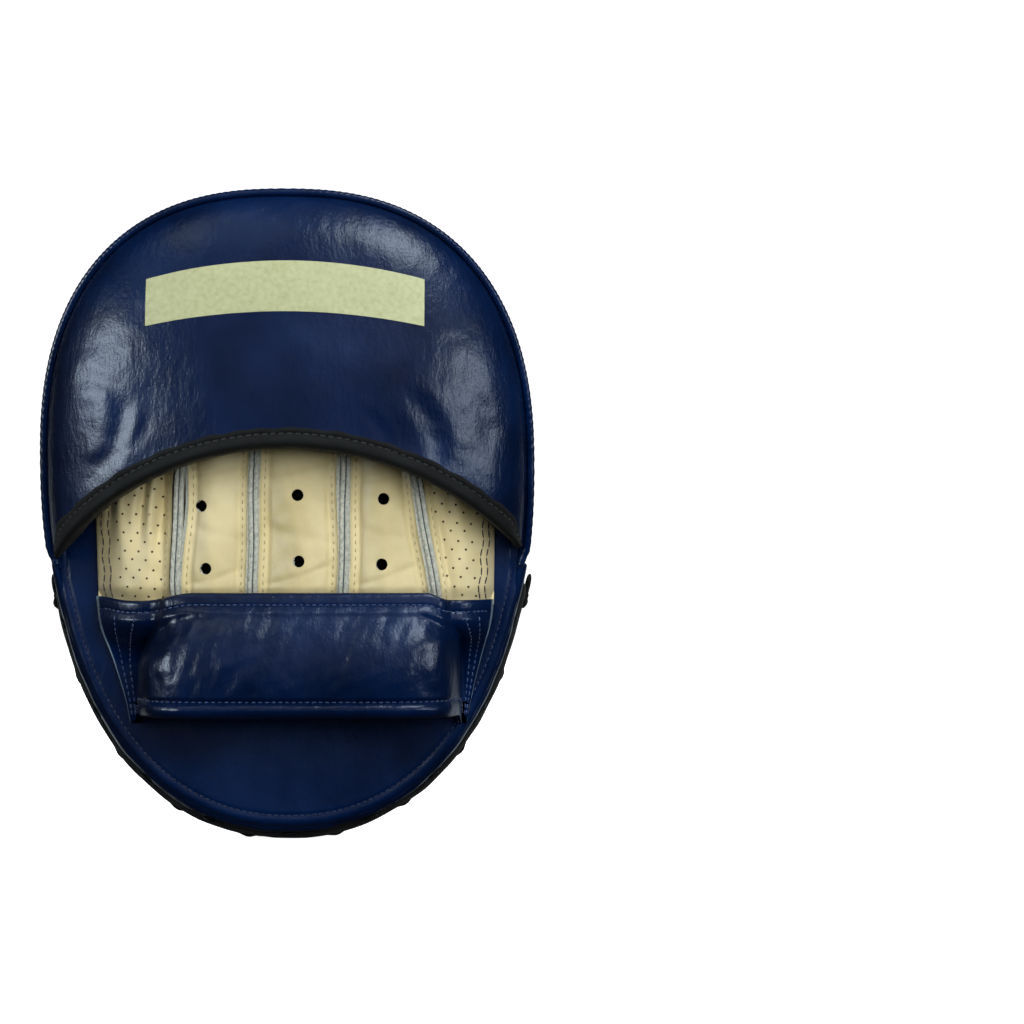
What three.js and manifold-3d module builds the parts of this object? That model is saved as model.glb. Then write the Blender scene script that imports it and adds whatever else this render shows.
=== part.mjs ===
// A boxing focus mitt for the right hand, one of a pair. Units are millimetres.
// +X is to the right when the hand side is seen, the hand side faces -Y, the striking face +Y,
// and the fingers point up, +Z. The origin is the centre of the palm inside the glove.

import * as THREE from 'three';
import { mergeVertices } from 'three/addons/utils/BufferGeometryUtils.js';
import Module from 'manifold-3d';

const wasm = await Module();
wasm.setup();

// ---------- Driving dimensions ----------

const GAP = 0.4;
const LEATHER = 1.5;
const DEGREE = Math.PI / 180;

// Egg-shaped outlines, each a superellipse with its own power above and below its centre.
const rearOutline = {
  halfWidth: 98.4, centreX: 0, centreZ: 68, top: 112.4, bottom: 146.4, topPower: 2.5, bottomPower: 2.2,
};
const frontOutline = {
  halfWidth: 90, centreX: 0, centreZ: 56, top: 105.6, bottom: 132, topPower: 2.5, bottomPower: 2.3,
};
const patchOutline = {
  halfWidth: 60, centreX: 0, centreZ: 50, top: 74, bottom: 92, topPower: 2.7, bottomPower: 1.9,
};
const palmOutline = {
  halfWidth: 76, centreX: 4, centreZ: 40, top: 108, bottom: 70, topPower: 3.2, bottomPower: 3.2,
};

// Depths, from the hand side to the striking side.
const backCoverY = 14;
const frontSeamY = 50;
const faceY = 60;
const patchThickness = 2;
const shoulderStart = 0.84;
const shoulderPower = 2.4;

// The layers inside the pad: where each ends, and how far it stays inside the wall.
const faceFoamRearY = 44.6;
const coreFoam = { frontY: 44.2, rearY: 26.2, inset: 3.6 };
const board = { frontY: 25.8, rearY: 23.8, inset: 6 };
const backFoam = { frontY: 23.4, rearY: 16, inset: 3.6 };
const backCover = { frontY: 15.5, rearY: backCoverY, inset: 2.2 };

// The pad's side wall, and where its laced lower part begins (angles are from straight up).
const wallBulge = 1.4;
const lacedBulge = 2.6;
const lacedInset = 3;
const hoodEndAngle = 102;
const seamRunOut = 10;
const pocketTopHeight = 24;
const pocketEndHeight = 3.2;
const facingShare = 0.34;
const tongueShare = 0.2;
const tongueThickness = 1.2;
const laceStartAngle = 111;
const laceCrossings = 8;
const laceWidth = 5;
const laceThickness = 1.4;
const laceSwing = 0.22;
const laceSpacing = 1;
const knot = { halfSize: [3.6, 5.5, 9], angle: 106, standOff: 4.4, tilt: 8 };

// The hood: a padded dome over the fingers, its lip an arc.
const lip = { centreX: 2, centreZ: -49, radius: 126 };
const hoodHeight = 50;
const hoodPower = 2.75;
const hoodRoundness = 1.85;
const hoodFoam = 8;
const hoodLining = 1;
const hoodGap = 0.9;
const hoodColumns = 22;
const hoodEndSpan = 4;
const bindingWidth = 6.6;
const bindingThickness = 1.2;
const pipingRadius = 1.4;

// The glove: five arched panels between two outer edges and four raised welts. Each edge and each welt
// is a straight line, given by its x at the glove's lower edge and at seamTopZ.
const gloveSeams = [[-76.6, -78.4], [-43.6, -41.4], [-12.6, -12.6], [22.7, 23.6], [59.3, 52], [82.9, 83.8]];
const seamTopZ = 68;
const seamReach = 1.3;
const gloveTips = [112, 136, 144, 138, 118];
const gloveNames = ['thumb', 'index', 'middle', 'ring', 'little'];
const gloveBottomZ = 18.6;
const weltHeight = 19;
const weltWidth = 5.5;
const weltStand = 4.5;
const panelCrown = 6;
const panelFlangeHeight = 3.6;
const dividerThickness = 1.2;
const dividerStart = 14;
const dividerEnd = 20;
const weltEnd = 6;
const ventRadius = 2.35;
const vents = {
  index: [[-31.4, 28.3], [-33.2, 53.2]],
  middle: [[5.6, 31.2], [5.1, 57.5]],
  ring: [[38.5, 30], [39.3, 56]],
};

// The cuff: a padded bridge over the wrist between two sewn tabs.
const cuffTopZ = 17.8;
const cuffBottomZ = -23.4;
const tabBottomZ = -37;
const tabLift = 2;
const cuffSides = { left: -56, right: 67 };
const tabOuterEdges = { left: { top: -76.5, bottom: -63 }, right: { top: 82.8, bottom: 71.5 } };
const cuffTopHeight = 27;
const cuffBottomHeight = 39;
const cuffFoam = 4;
const cuffLining = 1;
const rollRadius = 3.4;

// ---------- Small helpers ----------

const lerp = THREE.MathUtils.lerp;
const clamp = THREE.MathUtils.clamp;
const smoothstep = THREE.MathUtils.smoothstep;

function signedPower(value, power) {
  return Math.sign(value) * Math.abs(value) ** power;
}

// A superellipse quarter pair: angle 0 is the top and a quarter turn is +X.
function outlinePoint(outline, angle, inset = 0) {
  const up = Math.cos(angle) >= 0;
  const power = up ? outline.topPower : outline.bottomPower;
  const height = (up ? outline.top : outline.bottom) - inset;
  return {
    x: outline.centreX + (outline.halfWidth - inset) * signedPower(Math.sin(angle), 2 / power),
    z: outline.centreZ + height * signedPower(Math.cos(angle), 2 / power),
  };
}

// The angle whose outlinePoint lies in the same direction as (x, z).
function outlineAngle(outline, x, z) {
  const up = z >= outline.centreZ;
  const power = (up ? outline.topPower : outline.bottomPower) / 2;
  const across = x / outline.halfWidth;
  const along = (z - outline.centreZ) / (up ? outline.top : outline.bottom);
  return Math.atan2(signedPower(across, power), signedPower(along, power));
}

// 0 at the outline's centre and 1 on the outline.
function outlineDistance(outline, x, z, inset = 0) {
  const up = z >= outline.centreZ;
  const power = up ? outline.topPower : outline.bottomPower;
  const height = (up ? outline.top : outline.bottom) - inset;
  const across = Math.abs(x / (outline.halfWidth - inset)) ** power;
  const along = Math.abs((z - outline.centreZ) / height) ** power;
  return (across + along) ** (1 / power);
}

function meshVolume(position, index) {
  const a = new THREE.Vector3();
  const b = new THREE.Vector3();
  const c = new THREE.Vector3();
  let volume = 0;
  for (let i = 0; i < index.length; i += 3) {
    a.fromBufferAttribute(position, index[i]);
    b.fromBufferAttribute(position, index[i + 1]);
    c.fromBufferAttribute(position, index[i + 2]);
    volume += a.dot(b.cross(c)) / 6;
  }
  return volume;
}

// Joins shared corners, drops collapsed triangles and turns the faces outwards.
function closedGeometry(positions, indices) {
  const loose = new THREE.BufferGeometry();
  loose.setAttribute('position', new THREE.Float32BufferAttribute(positions, 3));
  loose.setIndex(indices);
  const geometry = mergeVertices(loose, 1e-3);
  const merged = Array.from(geometry.index.array);
  const kept = [];
  for (let i = 0; i < merged.length; i += 3) {
    const [a, b, c] = merged.slice(i, i + 3);
    if (a !== b && b !== c && c !== a) kept.push(a, b, c);
  }
  if (meshVolume(geometry.attributes.position, kept) < 0) kept.reverse();
  geometry.setIndex(kept);
  geometry.computeVertexNormals();
  return geometry;
}

// The solid between two surfaces that share a grid; a closed grid meets itself across.
function solidBetween(outer, inner, across, along, closed = false) {
  const positions = [];
  const indices = [];
  const rowLength = along + 1;
  const sheet = (across + 1) * rowLength;
  for (const surface of [outer, inner]) {
    for (let i = 0; i <= across; i++) {
      for (let j = 0; j <= along; j++) positions.push(...surface(i / across, j / along));
    }
  }
  const quad = (a, b, c, d) => indices.push(a, b, c, a, c, d);
  for (let i = 0; i < across; i++) {
    for (let j = 0; j < along; j++) {
      const a = i * rowLength + j;
      quad(a, a + 1, a + 1 + rowLength, a + rowLength);
      quad(sheet + a, sheet + a + rowLength, sheet + a + 1 + rowLength, sheet + a + 1);
    }
    const start = i * rowLength;
    const end = start + along;
    quad(start, start + rowLength, sheet + start + rowLength, sheet + start);
    quad(end, sheet + end, sheet + end + rowLength, end + rowLength);
  }
  if (!closed) {
    const last = across * rowLength;
    for (let j = 0; j < along; j++) {
      quad(j, sheet + j, sheet + j + 1, j + 1);
      quad(last + j, last + j + 1, sheet + last + j + 1, sheet + last + j);
    }
  }
  return closedGeometry(positions, indices);
}

// A rod whose section is a closed ring of points, capped at both ends.
function sweptRing(ringPoint, steps, sides) {
  const positions = [];
  const indices = [];
  for (let i = 0; i <= steps; i++) {
    for (let k = 0; k < sides; k++) positions.push(...ringPoint(i / steps, k / sides));
  }
  for (let i = 0; i < steps; i++) {
    for (let k = 0; k < sides; k++) {
      const next = (k + 1) % sides;
      const a = i * sides + k;
      const b = i * sides + next;
      indices.push(a, b, b + sides, a, b + sides, a + sides);
    }
  }
  const last = steps * sides;
  for (let k = 1; k < sides - 1; k++) {
    indices.push(0, k + 1, k);
    indices.push(last, last + k, last + k + 1);
  }
  return closedGeometry(positions, indices);
}

// ---------- The pad's side wall ----------

// How far the hood's seam stands off the back cover, towards the hand.
function pocketHeight(angle) {
  const degrees = Math.abs(angle) / DEGREE;
  if (degrees < hoodEndAngle) {
    return pocketEndHeight + pocketTopHeight * Math.cos((degrees / hoodEndAngle) * 90 * DEGREE) ** 0.8;
  }
  return pocketEndHeight * (1 - smoothstep(degrees, hoodEndAngle, hoodEndAngle + seamRunOut));
}

function wrapAngle(angle) {
  return Math.atan2(Math.sin(angle), Math.cos(angle));
}

// share runs from the front seam, 0, to the rear seam, 1; offset is outwards.
function wallPoint(angle, share, offset) {
  const turned = wrapAngle(angle);
  const degrees = Math.abs(turned) / DEGREE;
  const laced = smoothstep(degrees, hoodEndAngle, hoodEndAngle + seamRunOut);
  const inset = lacedInset * laced;
  const outwards = offset + lerp(wallBulge, lacedBulge, laced) * 4 * share * (1 - share);
  const front = outlinePoint(frontOutline, turned, -outwards);
  const rear = outlinePoint(rearOutline, turned, inset - outwards);
  const frontY = frontSeamY - GAP;
  const rearY = backCoverY - pocketHeight(turned) + pipingRadius + GAP;
  return [lerp(front.x, rear.x, share), lerp(frontY, rearY, share), lerp(front.z, rear.z, share)];
}

// The wall's outline at one depth, pulled in by inset.
function wallOutlineAt(angle, y, inset) {
  const front = wallPoint(angle, 0, 0)[1];
  const rear = wallPoint(angle, 1, 0)[1];
  const share = clamp((front - y) / (front - rear), 0, 1);
  const [x, , z] = wallPoint(angle, share, -inset);
  return { x, z };
}

function wallStrip(startAngle, endAngle, startShare, endShare, outer, inner, across, along) {
  const surface = (offset) => (u, v) =>
    wallPoint(lerp(startAngle, endAngle, u) * DEGREE, lerp(startShare, endShare, v), offset);
  return solidBetween(surface(outer), surface(inner), across, along);
}

function upperGusset() {
  return wallStrip(-hoodEndAngle, hoodEndAngle, 0, 1, 0, -LEATHER, 32, 3);
}

function facing(startShare, endShare) {
  return wallStrip(hoodEndAngle + 1, 359 - hoodEndAngle, startShare, endShare, 0, -LEATHER, 28, 2);
}

function lacingTongue() {
  const outer = -LEATHER - GAP;
  const inner = outer - tongueThickness;
  return wallStrip(hoodEndAngle + 2, 358 - hoodEndAngle, tongueShare, 1 - tongueShare, outer, inner, 28, 2);
}

// A flat lace that swings from facing to facing; direction says which side it starts on.
function laceGeometry(direction, lift) {
  const centre = (t, height) => {
    const angle = lerp(laceStartAngle, 360 - laceStartAngle, t) * DEGREE;
    const share = 0.5 + direction * laceSwing * Math.cos(Math.PI * laceCrossings * t);
    return new THREE.Vector3(...wallPoint(angle, share, height));
  };
  const edgePoint = (t, side, height) => {
    const here = centre(t, lift);
    const along = centre(t + 0.002, lift).sub(centre(t - 0.002, lift)).normalize();
    const out = centre(t, lift + 1).sub(here).normalize();
    const across = along.clone().cross(out).normalize();
    return here
      .addScaledVector(across, side * laceWidth / 2)
      .addScaledVector(out, height)
      .toArray();
  };
  const surface = (height) => (u, v) => edgePoint(u, 2 * v - 1, height);
  return solidBetween(surface(laceThickness), surface(0), laceCrossings * 5, 1);
}

function laceKnot(side) {
  const geometry = new THREE.SphereGeometry(1, 12, 8);
  geometry.scale(...knot.halfSize);
  geometry.rotateY(-side * knot.tilt * DEGREE);
  geometry.translate(...wallPoint(side * knot.angle * DEGREE, 0.5, knot.standOff));
  return closedGeometry(Array.from(geometry.attributes.position.array), Array.from(geometry.index.array));
}

// ---------- Flat layers of the pad ----------

const outlineSides = 48;

// A plate between two depths whose edge follows the wall.
function wallPlate({ frontY, rearY, inset }) {
  const surface = (y) => (u, v) => {
    const { x, z } = wallOutlineAt(u * 360 * DEGREE, y, inset);
    return [x * v, y, lerp(rearOutline.centreZ, z, v)];
  };
  return solidBetween(surface(frontY), surface(rearY), outlineSides, 1, true);
}

function outlinePlate(outline, frontY, rearY) {
  const surface = (y) => (u, v) => {
    const { x, z } = outlinePoint(outline, u * 360 * DEGREE);
    return [lerp(outline.centreX, x, v), y, lerp(outline.centreZ, z, v)];
  };
  return solidBetween(surface(frontY), surface(rearY), outlineSides, 1, true);
}

// The striking face: flat, with a rounded shoulder that drops to the front seam.
function facePoint(u, v, rings, inset) {
  const firstRing = 1 / rings;
  const share = v < firstRing ? 0 : lerp(shoulderStart, 1, (v - firstRing) / (1 - firstRing));
  const { x, z } = outlinePoint(frontOutline, u * 360 * DEGREE, inset);
  const shoulder = clamp((share - shoulderStart) / (1 - shoulderStart), 0, 1);
  const rise = (faceY - frontSeamY - inset) * (1 - shoulder ** shoulderPower) ** (1 / shoulderPower);
  return [x * share, frontSeamY + rise, lerp(frontOutline.centreZ, z, share)];
}

function faceCover() {
  const rings = 5;
  const surface = (inset) => (u, v) => facePoint(u, v, rings, inset);
  return solidBetween(surface(0), surface(LEATHER), outlineSides, rings, true);
}

function faceFoam(rearY) {
  const rings = 3;
  const inset = LEATHER + GAP;
  const outer = (u, v) => facePoint(u, v, rings, inset + 1);
  const inner = (u, v) => {
    const [x, , z] = facePoint(u, v, rings, inset + 1);
    return [x, rearY, z];
  };
  return solidBetween(outer, inner, outlineSides, rings, true);
}

// ---------- The hood ----------

// Distance from the lip's centre to the rear outline along one ray.
function rayToOutline(angle, inset) {
  let near = 60;
  let far = 260;
  for (let step = 0; step < 30; step++) {
    const middle = (near + far) / 2;
    const x = lip.centreX + middle * Math.sin(angle);
    const z = lip.centreZ + middle * Math.cos(angle);
    if (outlineDistance(rearOutline, x, z, inset) < 1) near = middle;
    else far = middle;
  }
  return near;
}

// The ray, left or right, where the hood's layer has narrowed to its end span.
function hoodEndRay(side, inset) {
  let angle = 0;
  while (rayToOutline(side * (angle + 0.002), inset) - lip.radius > hoodEndSpan) angle += 0.002;
  return side * angle;
}

// Height of the hood's layer at depth below its skin, over the back cover.
function hoodHeightAt(x, z, depth) {
  const end = (hoodEndAngle - 0.01) * DEGREE;
  const seam = pocketHeight(clamp(outlineAngle(rearOutline, x, z), -end, end));
  const share = Math.min(outlineDistance(rearOutline, x, z, pipingRadius + GAP + depth), 1);
  const dome = (1 - share ** hoodPower) ** (1 / hoodRoundness);
  return seam + (hoodHeight - depth - seam) * dome;
}

function hoodPoint(u, v, depth, ends) {
  const ray = lerp(ends[0], ends[1], u);
  const reach = rayToOutline(ray, pipingRadius + GAP + depth);
  const radius = lerp(lip.radius, reach, v);
  const x = lip.centreX + radius * Math.sin(ray);
  const z = lip.centreZ + radius * Math.cos(ray);
  return [x, backCoverY - hoodHeightAt(x, z, depth), z];
}

function hoodLayer(depth, thickness) {
  const inner = depth + thickness;
  const ends = [-1, 1].map((side) => hoodEndRay(side, pipingRadius + GAP + inner));
  const rows = (v) => 1 - (1 - v) ** 1.5;
  const surface = (layer) => (u, v) => hoodPoint(u, rows(v), layer, ends);
  return solidBetween(surface(depth), surface(inner), hoodColumns, 6);
}

// A C-shaped tape folded round the hood's padded lip. Its flanges narrow where the layers run out.
function hoodBinding() {
  const skinDepth = 0;
  const innerDepth = LEATHER + hoodGap + hoodFoam + hoodGap + hoodLining;
  const under = hoodGap;
  const over = under + bindingThickness;
  const edge = GAP + bindingThickness;
  const flangeShare = 0.4;
  const ends = [-1, 1].map((side) => hoodEndRay(side, pipingRadius + GAP + LEATHER));
  const section = [
    { out: bindingWidth, depth: skinDepth, lift: under },
    { out: bindingWidth, depth: skinDepth, lift: over },
    { out: bindingWidth / 2, depth: skinDepth, lift: over },
    { out: -GAP - 0.4, depth: skinDepth, lift: over - 0.5 },
    { out: -edge, depth: skinDepth, lift: -1 },
    { out: -edge, depth: innerDepth, lift: 0 },
    { out: -GAP - 0.4, depth: innerDepth, lift: 0.5 - over },
    { out: bindingWidth * 0.7, depth: innerDepth, lift: -over },
    { out: bindingWidth * 0.7, depth: innerDepth, lift: -under },
    { out: -GAP, depth: innerDepth, lift: -under },
    { out: -GAP, depth: skinDepth, lift: under },
    { out: bindingWidth / 2, depth: skinDepth, lift: under },
  ];
  const place = (u, corner) => {
    const ray = lerp(ends[0], ends[1], u);
    const span = rayToOutline(ray, pipingRadius + GAP + corner.depth) - lip.radius;
    const narrowing = clamp((span * flangeShare) / bindingWidth, 0.05, 1);
    const out = corner.out > 0 ? corner.out * narrowing : corner.out;
    const surfaceRadius = lip.radius + Math.max(out, 0);
    const heightX = lip.centreX + surfaceRadius * Math.sin(ray);
    const heightZ = lip.centreZ + surfaceRadius * Math.cos(ray);
    const height = hoodHeightAt(heightX, heightZ, corner.depth) + corner.lift;
    const radius = lip.radius + out;
    return [lip.centreX + radius * Math.sin(ray), backCoverY - height, lip.centreZ + radius * Math.cos(ray)];
  };
  return bindingFromSection(place, section, hoodColumns);
}

// Sweeps a section that isn't convex; its caps are cut into triangles by THREE.ShapeUtils.
function bindingFromSection(place, section, steps) {
  const sides = section.length;
  const positions = [];
  const indices = [];
  for (let i = 0; i <= steps; i++) {
    for (const corner of section) positions.push(...place(i / steps, corner));
  }
  for (let i = 0; i < steps; i++) {
    for (let k = 0; k < sides; k++) {
      const a = i * sides + k;
      const b = i * sides + ((k + 1) % sides);
      indices.push(a, b, b + sides, a, b + sides, a + sides);
    }
  }
  const flat = section.map((corner) => new THREE.Vector2(corner.out, -corner.depth + corner.lift));
  const last = steps * sides;
  for (const [a, b, c] of THREE.ShapeUtils.triangulateShape(flat, [])) {
    const clockwise = THREE.ShapeUtils.isClockWise(flat);
    indices.push(...(clockwise ? [a, b, c] : [a, c, b]));
    indices.push(...(clockwise ? [last + a, last + c, last + b] : [last + a, last + b, last + c]));
  }
  return closedGeometry(positions, indices);
}

// A cord in the seam between the hood and the side wall.
function hoodPiping() {
  const centre = (u) => {
    const angle = lerp(-hoodEndAngle, hoodEndAngle, u) * DEGREE;
    const { x, z } = outlinePoint(rearOutline, angle);
    return new THREE.Vector3(x, backCoverY - pocketHeight(angle), z);
  };
  return roundRod(centre, pipingRadius, 44, 6);
}

function roundRod(centre, radius, steps, sides) {
  const depthWards = new THREE.Vector3(0, 1, 0);
  return sweptRing((u, ring) => {
    const along = centre(Math.min(u + 0.004, 1)).sub(centre(Math.max(u - 0.004, 0))).normalize();
    const first = along.clone().cross(depthWards).normalize();
    const second = along.clone().cross(first);
    const turn = ring * 360 * DEGREE;
    return centre(u)
      .addScaledVector(first, radius * Math.cos(turn))
      .addScaledVector(second, radius * Math.sin(turn))
      .toArray();
  }, steps, sides);
}

// ---------- The glove ----------

// Where a glove edge or welt crosses height z.
function seamX(index, z) {
  const [bottomX, topX] = gloveSeams[index];
  return lerp(bottomX, topX, clamp((z - gloveBottomZ) / (seamTopZ - gloveBottomZ), 0, seamReach));
}

// How a panel's height falls to its tip: 1 at the cuff, 0 at the tip.
function fingerTaper(z, tipZ) {
  const share = clamp((z - gloveBottomZ) / (tipZ - gloveBottomZ), 0, 1);
  return Math.sqrt(1 - share ** 4);
}

function weltHeightAt(z, tipZ) {
  return lerp(panelFlangeHeight, weltHeight, fingerTaper(z, tipZ));
}

// Height across one panel; a side panel runs down to a flange that is sewn flat.
function panelHeight(index, across, z, tipZ, inset) {
  const crown = panelCrown * Math.sin(Math.PI * across);
  let edge = weltHeight;
  if (index === 0) edge = lerp(panelFlangeHeight, weltHeight, across ** 0.7);
  if (index === gloveNames.length - 1) edge = lerp(panelFlangeHeight, weltHeight, (1 - across) ** 0.7);
  const flange = panelFlangeHeight - inset;
  return Math.max(lerp(flange, edge + crown - inset, fingerTaper(z, tipZ)), flange);
}

function glovePanel(index) {
  const clear = weltWidth / 2 + GAP;
  const clearLeft = index === 0 ? 0 : clear;
  const clearRight = index === gloveNames.length - 1 ? 0 : clear;
  const surface = (inset) => (u, v) => {
    const tipZ = gloveTips[index] - inset;
    const z = lerp(gloveBottomZ, tipZ, 1 - (1 - v) ** 1.4);
    const left = seamX(index, z) + clearLeft;
    const right = seamX(index + 1, z) - clearRight;
    const narrowing = 1 - 0.45 * smoothstep(v, 0.55, 1);
    const middle = (left + right) / 2;
    const x = middle + (lerp(left, right, u) - middle) * narrowing;
    return [x, backCoverY - panelHeight(index, u, z, tipZ, inset), z];
  };
  return solidBetween(surface(0), surface(LEATHER), 6, 9);
}

function toManifold(geometry) {
  return new wasm.Manifold(new wasm.Mesh({
    numProp: 3,
    vertProperties: new Float32Array(geometry.attributes.position.array),
    triVerts: new Uint32Array(geometry.index.array),
  }));
}

function fromManifold(solid) {
  const mesh = solid.getMesh();
  return closedGeometry(Array.from(mesh.vertProperties), Array.from(mesh.triVerts));
}

// Two round vent holes, one above the other, through a panel's crown.
function ventedPanel(index) {
  let solid = toManifold(glovePanel(index));
  const drillLength = 3 * weltHeight;
  for (const [x, z] of vents[gloveNames[index]]) {
    const drill = new THREE.CylinderGeometry(ventRadius, ventRadius, drillLength, 12);
    drill.translate(x, backCoverY - weltHeight, z);
    const hole = closedGeometry(Array.from(drill.attributes.position.array), Array.from(drill.index.array));
    solid = solid.subtract(toManifold(hole));
  }
  return fromManifold(solid);
}

function weltTip(index) {
  return Math.min(gloveTips[index - 1], gloveTips[index]) - weltEnd;
}

// An upright strip along one welt's line, between two heights over the back cover.
function seamStrip(index, width, startZ, endZ, lowAt, highAt) {
  const surface = (side) => (u, v) => {
    const z = lerp(startZ, endZ, u);
    return [seamX(index, z) + side * width / 2, backCoverY - lerp(lowAt(z), highAt(z), v), z];
  };
  return solidBetween(surface(1), surface(-1), 8, 1);
}

function welt(index) {
  const tipZ = weltTip(index);
  const low = (z) => weltHeightAt(z, tipZ) - LEATHER;
  const high = (z) => weltHeightAt(z, tipZ) + weltStand;
  return seamStrip(index, weltWidth, gloveBottomZ, tipZ, low, high);
}

function divider(index) {
  const tipZ = weltTip(index);
  const low = () => LEATHER + GAP;
  const high = (z) => weltHeightAt(z, tipZ) - LEATHER - 2 * GAP;
  return seamStrip(index, dividerThickness, gloveBottomZ + dividerStart, tipZ - dividerEnd, low, high);
}

// ---------- The cuff ----------

function cuffPoint(u, z, depth) {
  const share = (cuffTopZ - z) / (cuffTopZ - cuffBottomZ);
  const height = lerp(cuffTopHeight, cuffBottomHeight, share) - depth;
  const arch = (1 - Math.abs(2 * u - 1) ** 3.2) ** (1 / 1.9);
  const x = lerp(cuffSides.left + depth, cuffSides.right - depth, u);
  return [x, backCoverY - lerp(tabLift, height, arch), z];
}

// Columns crowd towards both sides, where the arch is steep.
function crowdedShare(u) {
  return 0.5 - 0.5 * Math.cos(Math.PI * u);
}

function cuffLayer(depth, thickness) {
  const surface = (layer) => (u, v) => cuffPoint(crowdedShare(u), lerp(cuffTopZ, cuffBottomZ, v), layer);
  return solidBetween(surface(depth), surface(depth + thickness), 18, 3);
}

// A rolled hem round the lower edge of the cuff's three layers.
function cuffRoll() {
  const halfStack = (LEATHER + GAP + cuffFoam + GAP + cuffLining) / 2;
  const z = cuffBottomZ - GAP - rollRadius;
  return sweptRing((u, ring) => {
    const share = lerp(0.02, 0.98, crowdedShare(u));
    const [x, y] = cuffPoint(share, z, halfStack);
    const before = cuffPoint(Math.max(share - 0.01, 0), z, halfStack);
    const after = cuffPoint(Math.min(share + 0.01, 1), z, halfStack);
    const along = new THREE.Vector3(after[0] - before[0], after[1] - before[1], 0).normalize();
    const out = new THREE.Vector3(along.y, -along.x, 0);
    const turn = ring * 360 * DEGREE;
    const reach = halfStack * Math.cos(turn);
    return [x + out.x * reach, y + out.y * reach, z + rollRadius * Math.sin(turn)];
  }, 20, 8);
}

// A flat leather tab, its outer edge slanting in towards the bottom.
function cuffTab(side) {
  const outerEdge = tabOuterEdges[side];
  const innerX = cuffSides[side] + (side === 'left' ? -GAP : GAP);
  const surface = (lift) => (u, v) => {
    const outerX = lerp(outerEdge.top, outerEdge.bottom, v);
    return [lerp(outerX, innerX, u), backCoverY - lift, lerp(cuffTopZ, tabBottomZ, v)];
  };
  return solidBetween(surface(tabLift + LEATHER), surface(tabLift), 1, 2);
}

// ---------- Materials and assembly ----------

const finishes = {
  navyLeather: { color: 0x071c40, roughness: 0.32 },
  navyFace: { color: 0x04122e, roughness: 0.36 },
  beigeLeather: { color: 0xccc092, roughness: 0.62 },
  weltLeather: { color: 0xb7b598, roughness: 0.7 },
  blackTape: { color: 0x1c1c1a, roughness: 0.8 },
  blackLace: { color: 0x16191f, roughness: 0.75 },
  lining: { color: 0x202225, roughness: 0.9 },
  foam: { color: 0x8a8d90, roughness: 0.95 },
  board: { color: 0x3a3c3e, roughness: 0.6 },
};

const mitt = new THREE.Group();

function add(name, geometry, finish) {
  const material = new THREE.MeshStandardMaterial({ ...finishes[finish], metalness: 0 });
  const mesh = new THREE.Mesh(geometry, material);
  mesh.name = name;
  mitt.add(mesh);
}

function addPad() {
  add('target_patch', outlinePlate(patchOutline, faceY + patchThickness, faceY + GAP), 'navyFace');
  add('face_cover', faceCover(), 'navyFace');
  add('foam_face', faceFoam(faceFoamRearY), 'foam');
  add('foam_core', wallPlate(coreFoam), 'foam');
  add('stiffener_board', wallPlate(board), 'board');
  add('foam_back', wallPlate(backFoam), 'foam');
  add('back_cover', wallPlate(backCover), 'navyLeather');
}

function addWall() {
  add('upper_gusset', upperGusset(), 'navyLeather');
  add('front_facing', facing(0, facingShare), 'navyLeather');
  add('back_facing', facing(1 - facingShare, 1), 'navyLeather');
  add('lacing_tongue', lacingTongue(), 'lining');
  add('lace_a', laceGeometry(1, GAP), 'blackLace');
  add('lace_b', laceGeometry(-1, GAP + laceThickness + laceSpacing), 'blackLace');
  add('lace_knot_left', laceKnot(-1), 'blackLace');
  add('lace_knot_right', laceKnot(1), 'blackLace');
}

function addHood() {
  add('hood_outer', hoodLayer(0, LEATHER), 'navyLeather');
  add('hood_foam', hoodLayer(LEATHER + hoodGap, hoodFoam), 'foam');
  add('hood_lining', hoodLayer(LEATHER + hoodGap + hoodFoam + hoodGap, hoodLining), 'lining');
  add('hood_binding', hoodBinding(), 'blackTape');
  add('hood_piping', hoodPiping(), 'navyLeather');
}

function addGlove() {
  add('glove_palm', outlinePlate(palmOutline, backCoverY - GAP, backCoverY - LEATHER), 'lining');
  gloveNames.forEach((name, index) => {
    const side = index === 0 || index === gloveNames.length - 1;
    add(`${name}_panel`, side ? glovePanel(index) : ventedPanel(index), 'beigeLeather');
  });
  for (let index = 1; index < gloveNames.length; index++) {
    add(`divider_${index}`, divider(index), 'lining');
    add(`welt_${index}`, welt(index), 'weltLeather');
  }
}

function addCuff() {
  add('cuff_outer', cuffLayer(0, LEATHER), 'navyLeather');
  add('cuff_foam', cuffLayer(LEATHER + GAP, cuffFoam), 'foam');
  add('cuff_lining', cuffLayer(LEATHER + GAP + cuffFoam + GAP, cuffLining), 'lining');
  add('cuff_roll', cuffRoll(), 'navyLeather');
  add('cuff_tab_left', cuffTab('left'), 'navyLeather');
  add('cuff_tab_right', cuffTab('right'), 'navyLeather');
}

addPad();
addWall();
addHood();
addGlove();
addCuff();

export default mitt;
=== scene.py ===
"""A boxing focus mitt for the right hand: leather, tape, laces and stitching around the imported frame.

Lengths are in millimetres until a mesh is made. +X is to the right as the hand side is seen, the
hand side faces -Y, the striking face +Y, and the fingertips point up, +Z.
"""
import math

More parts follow.
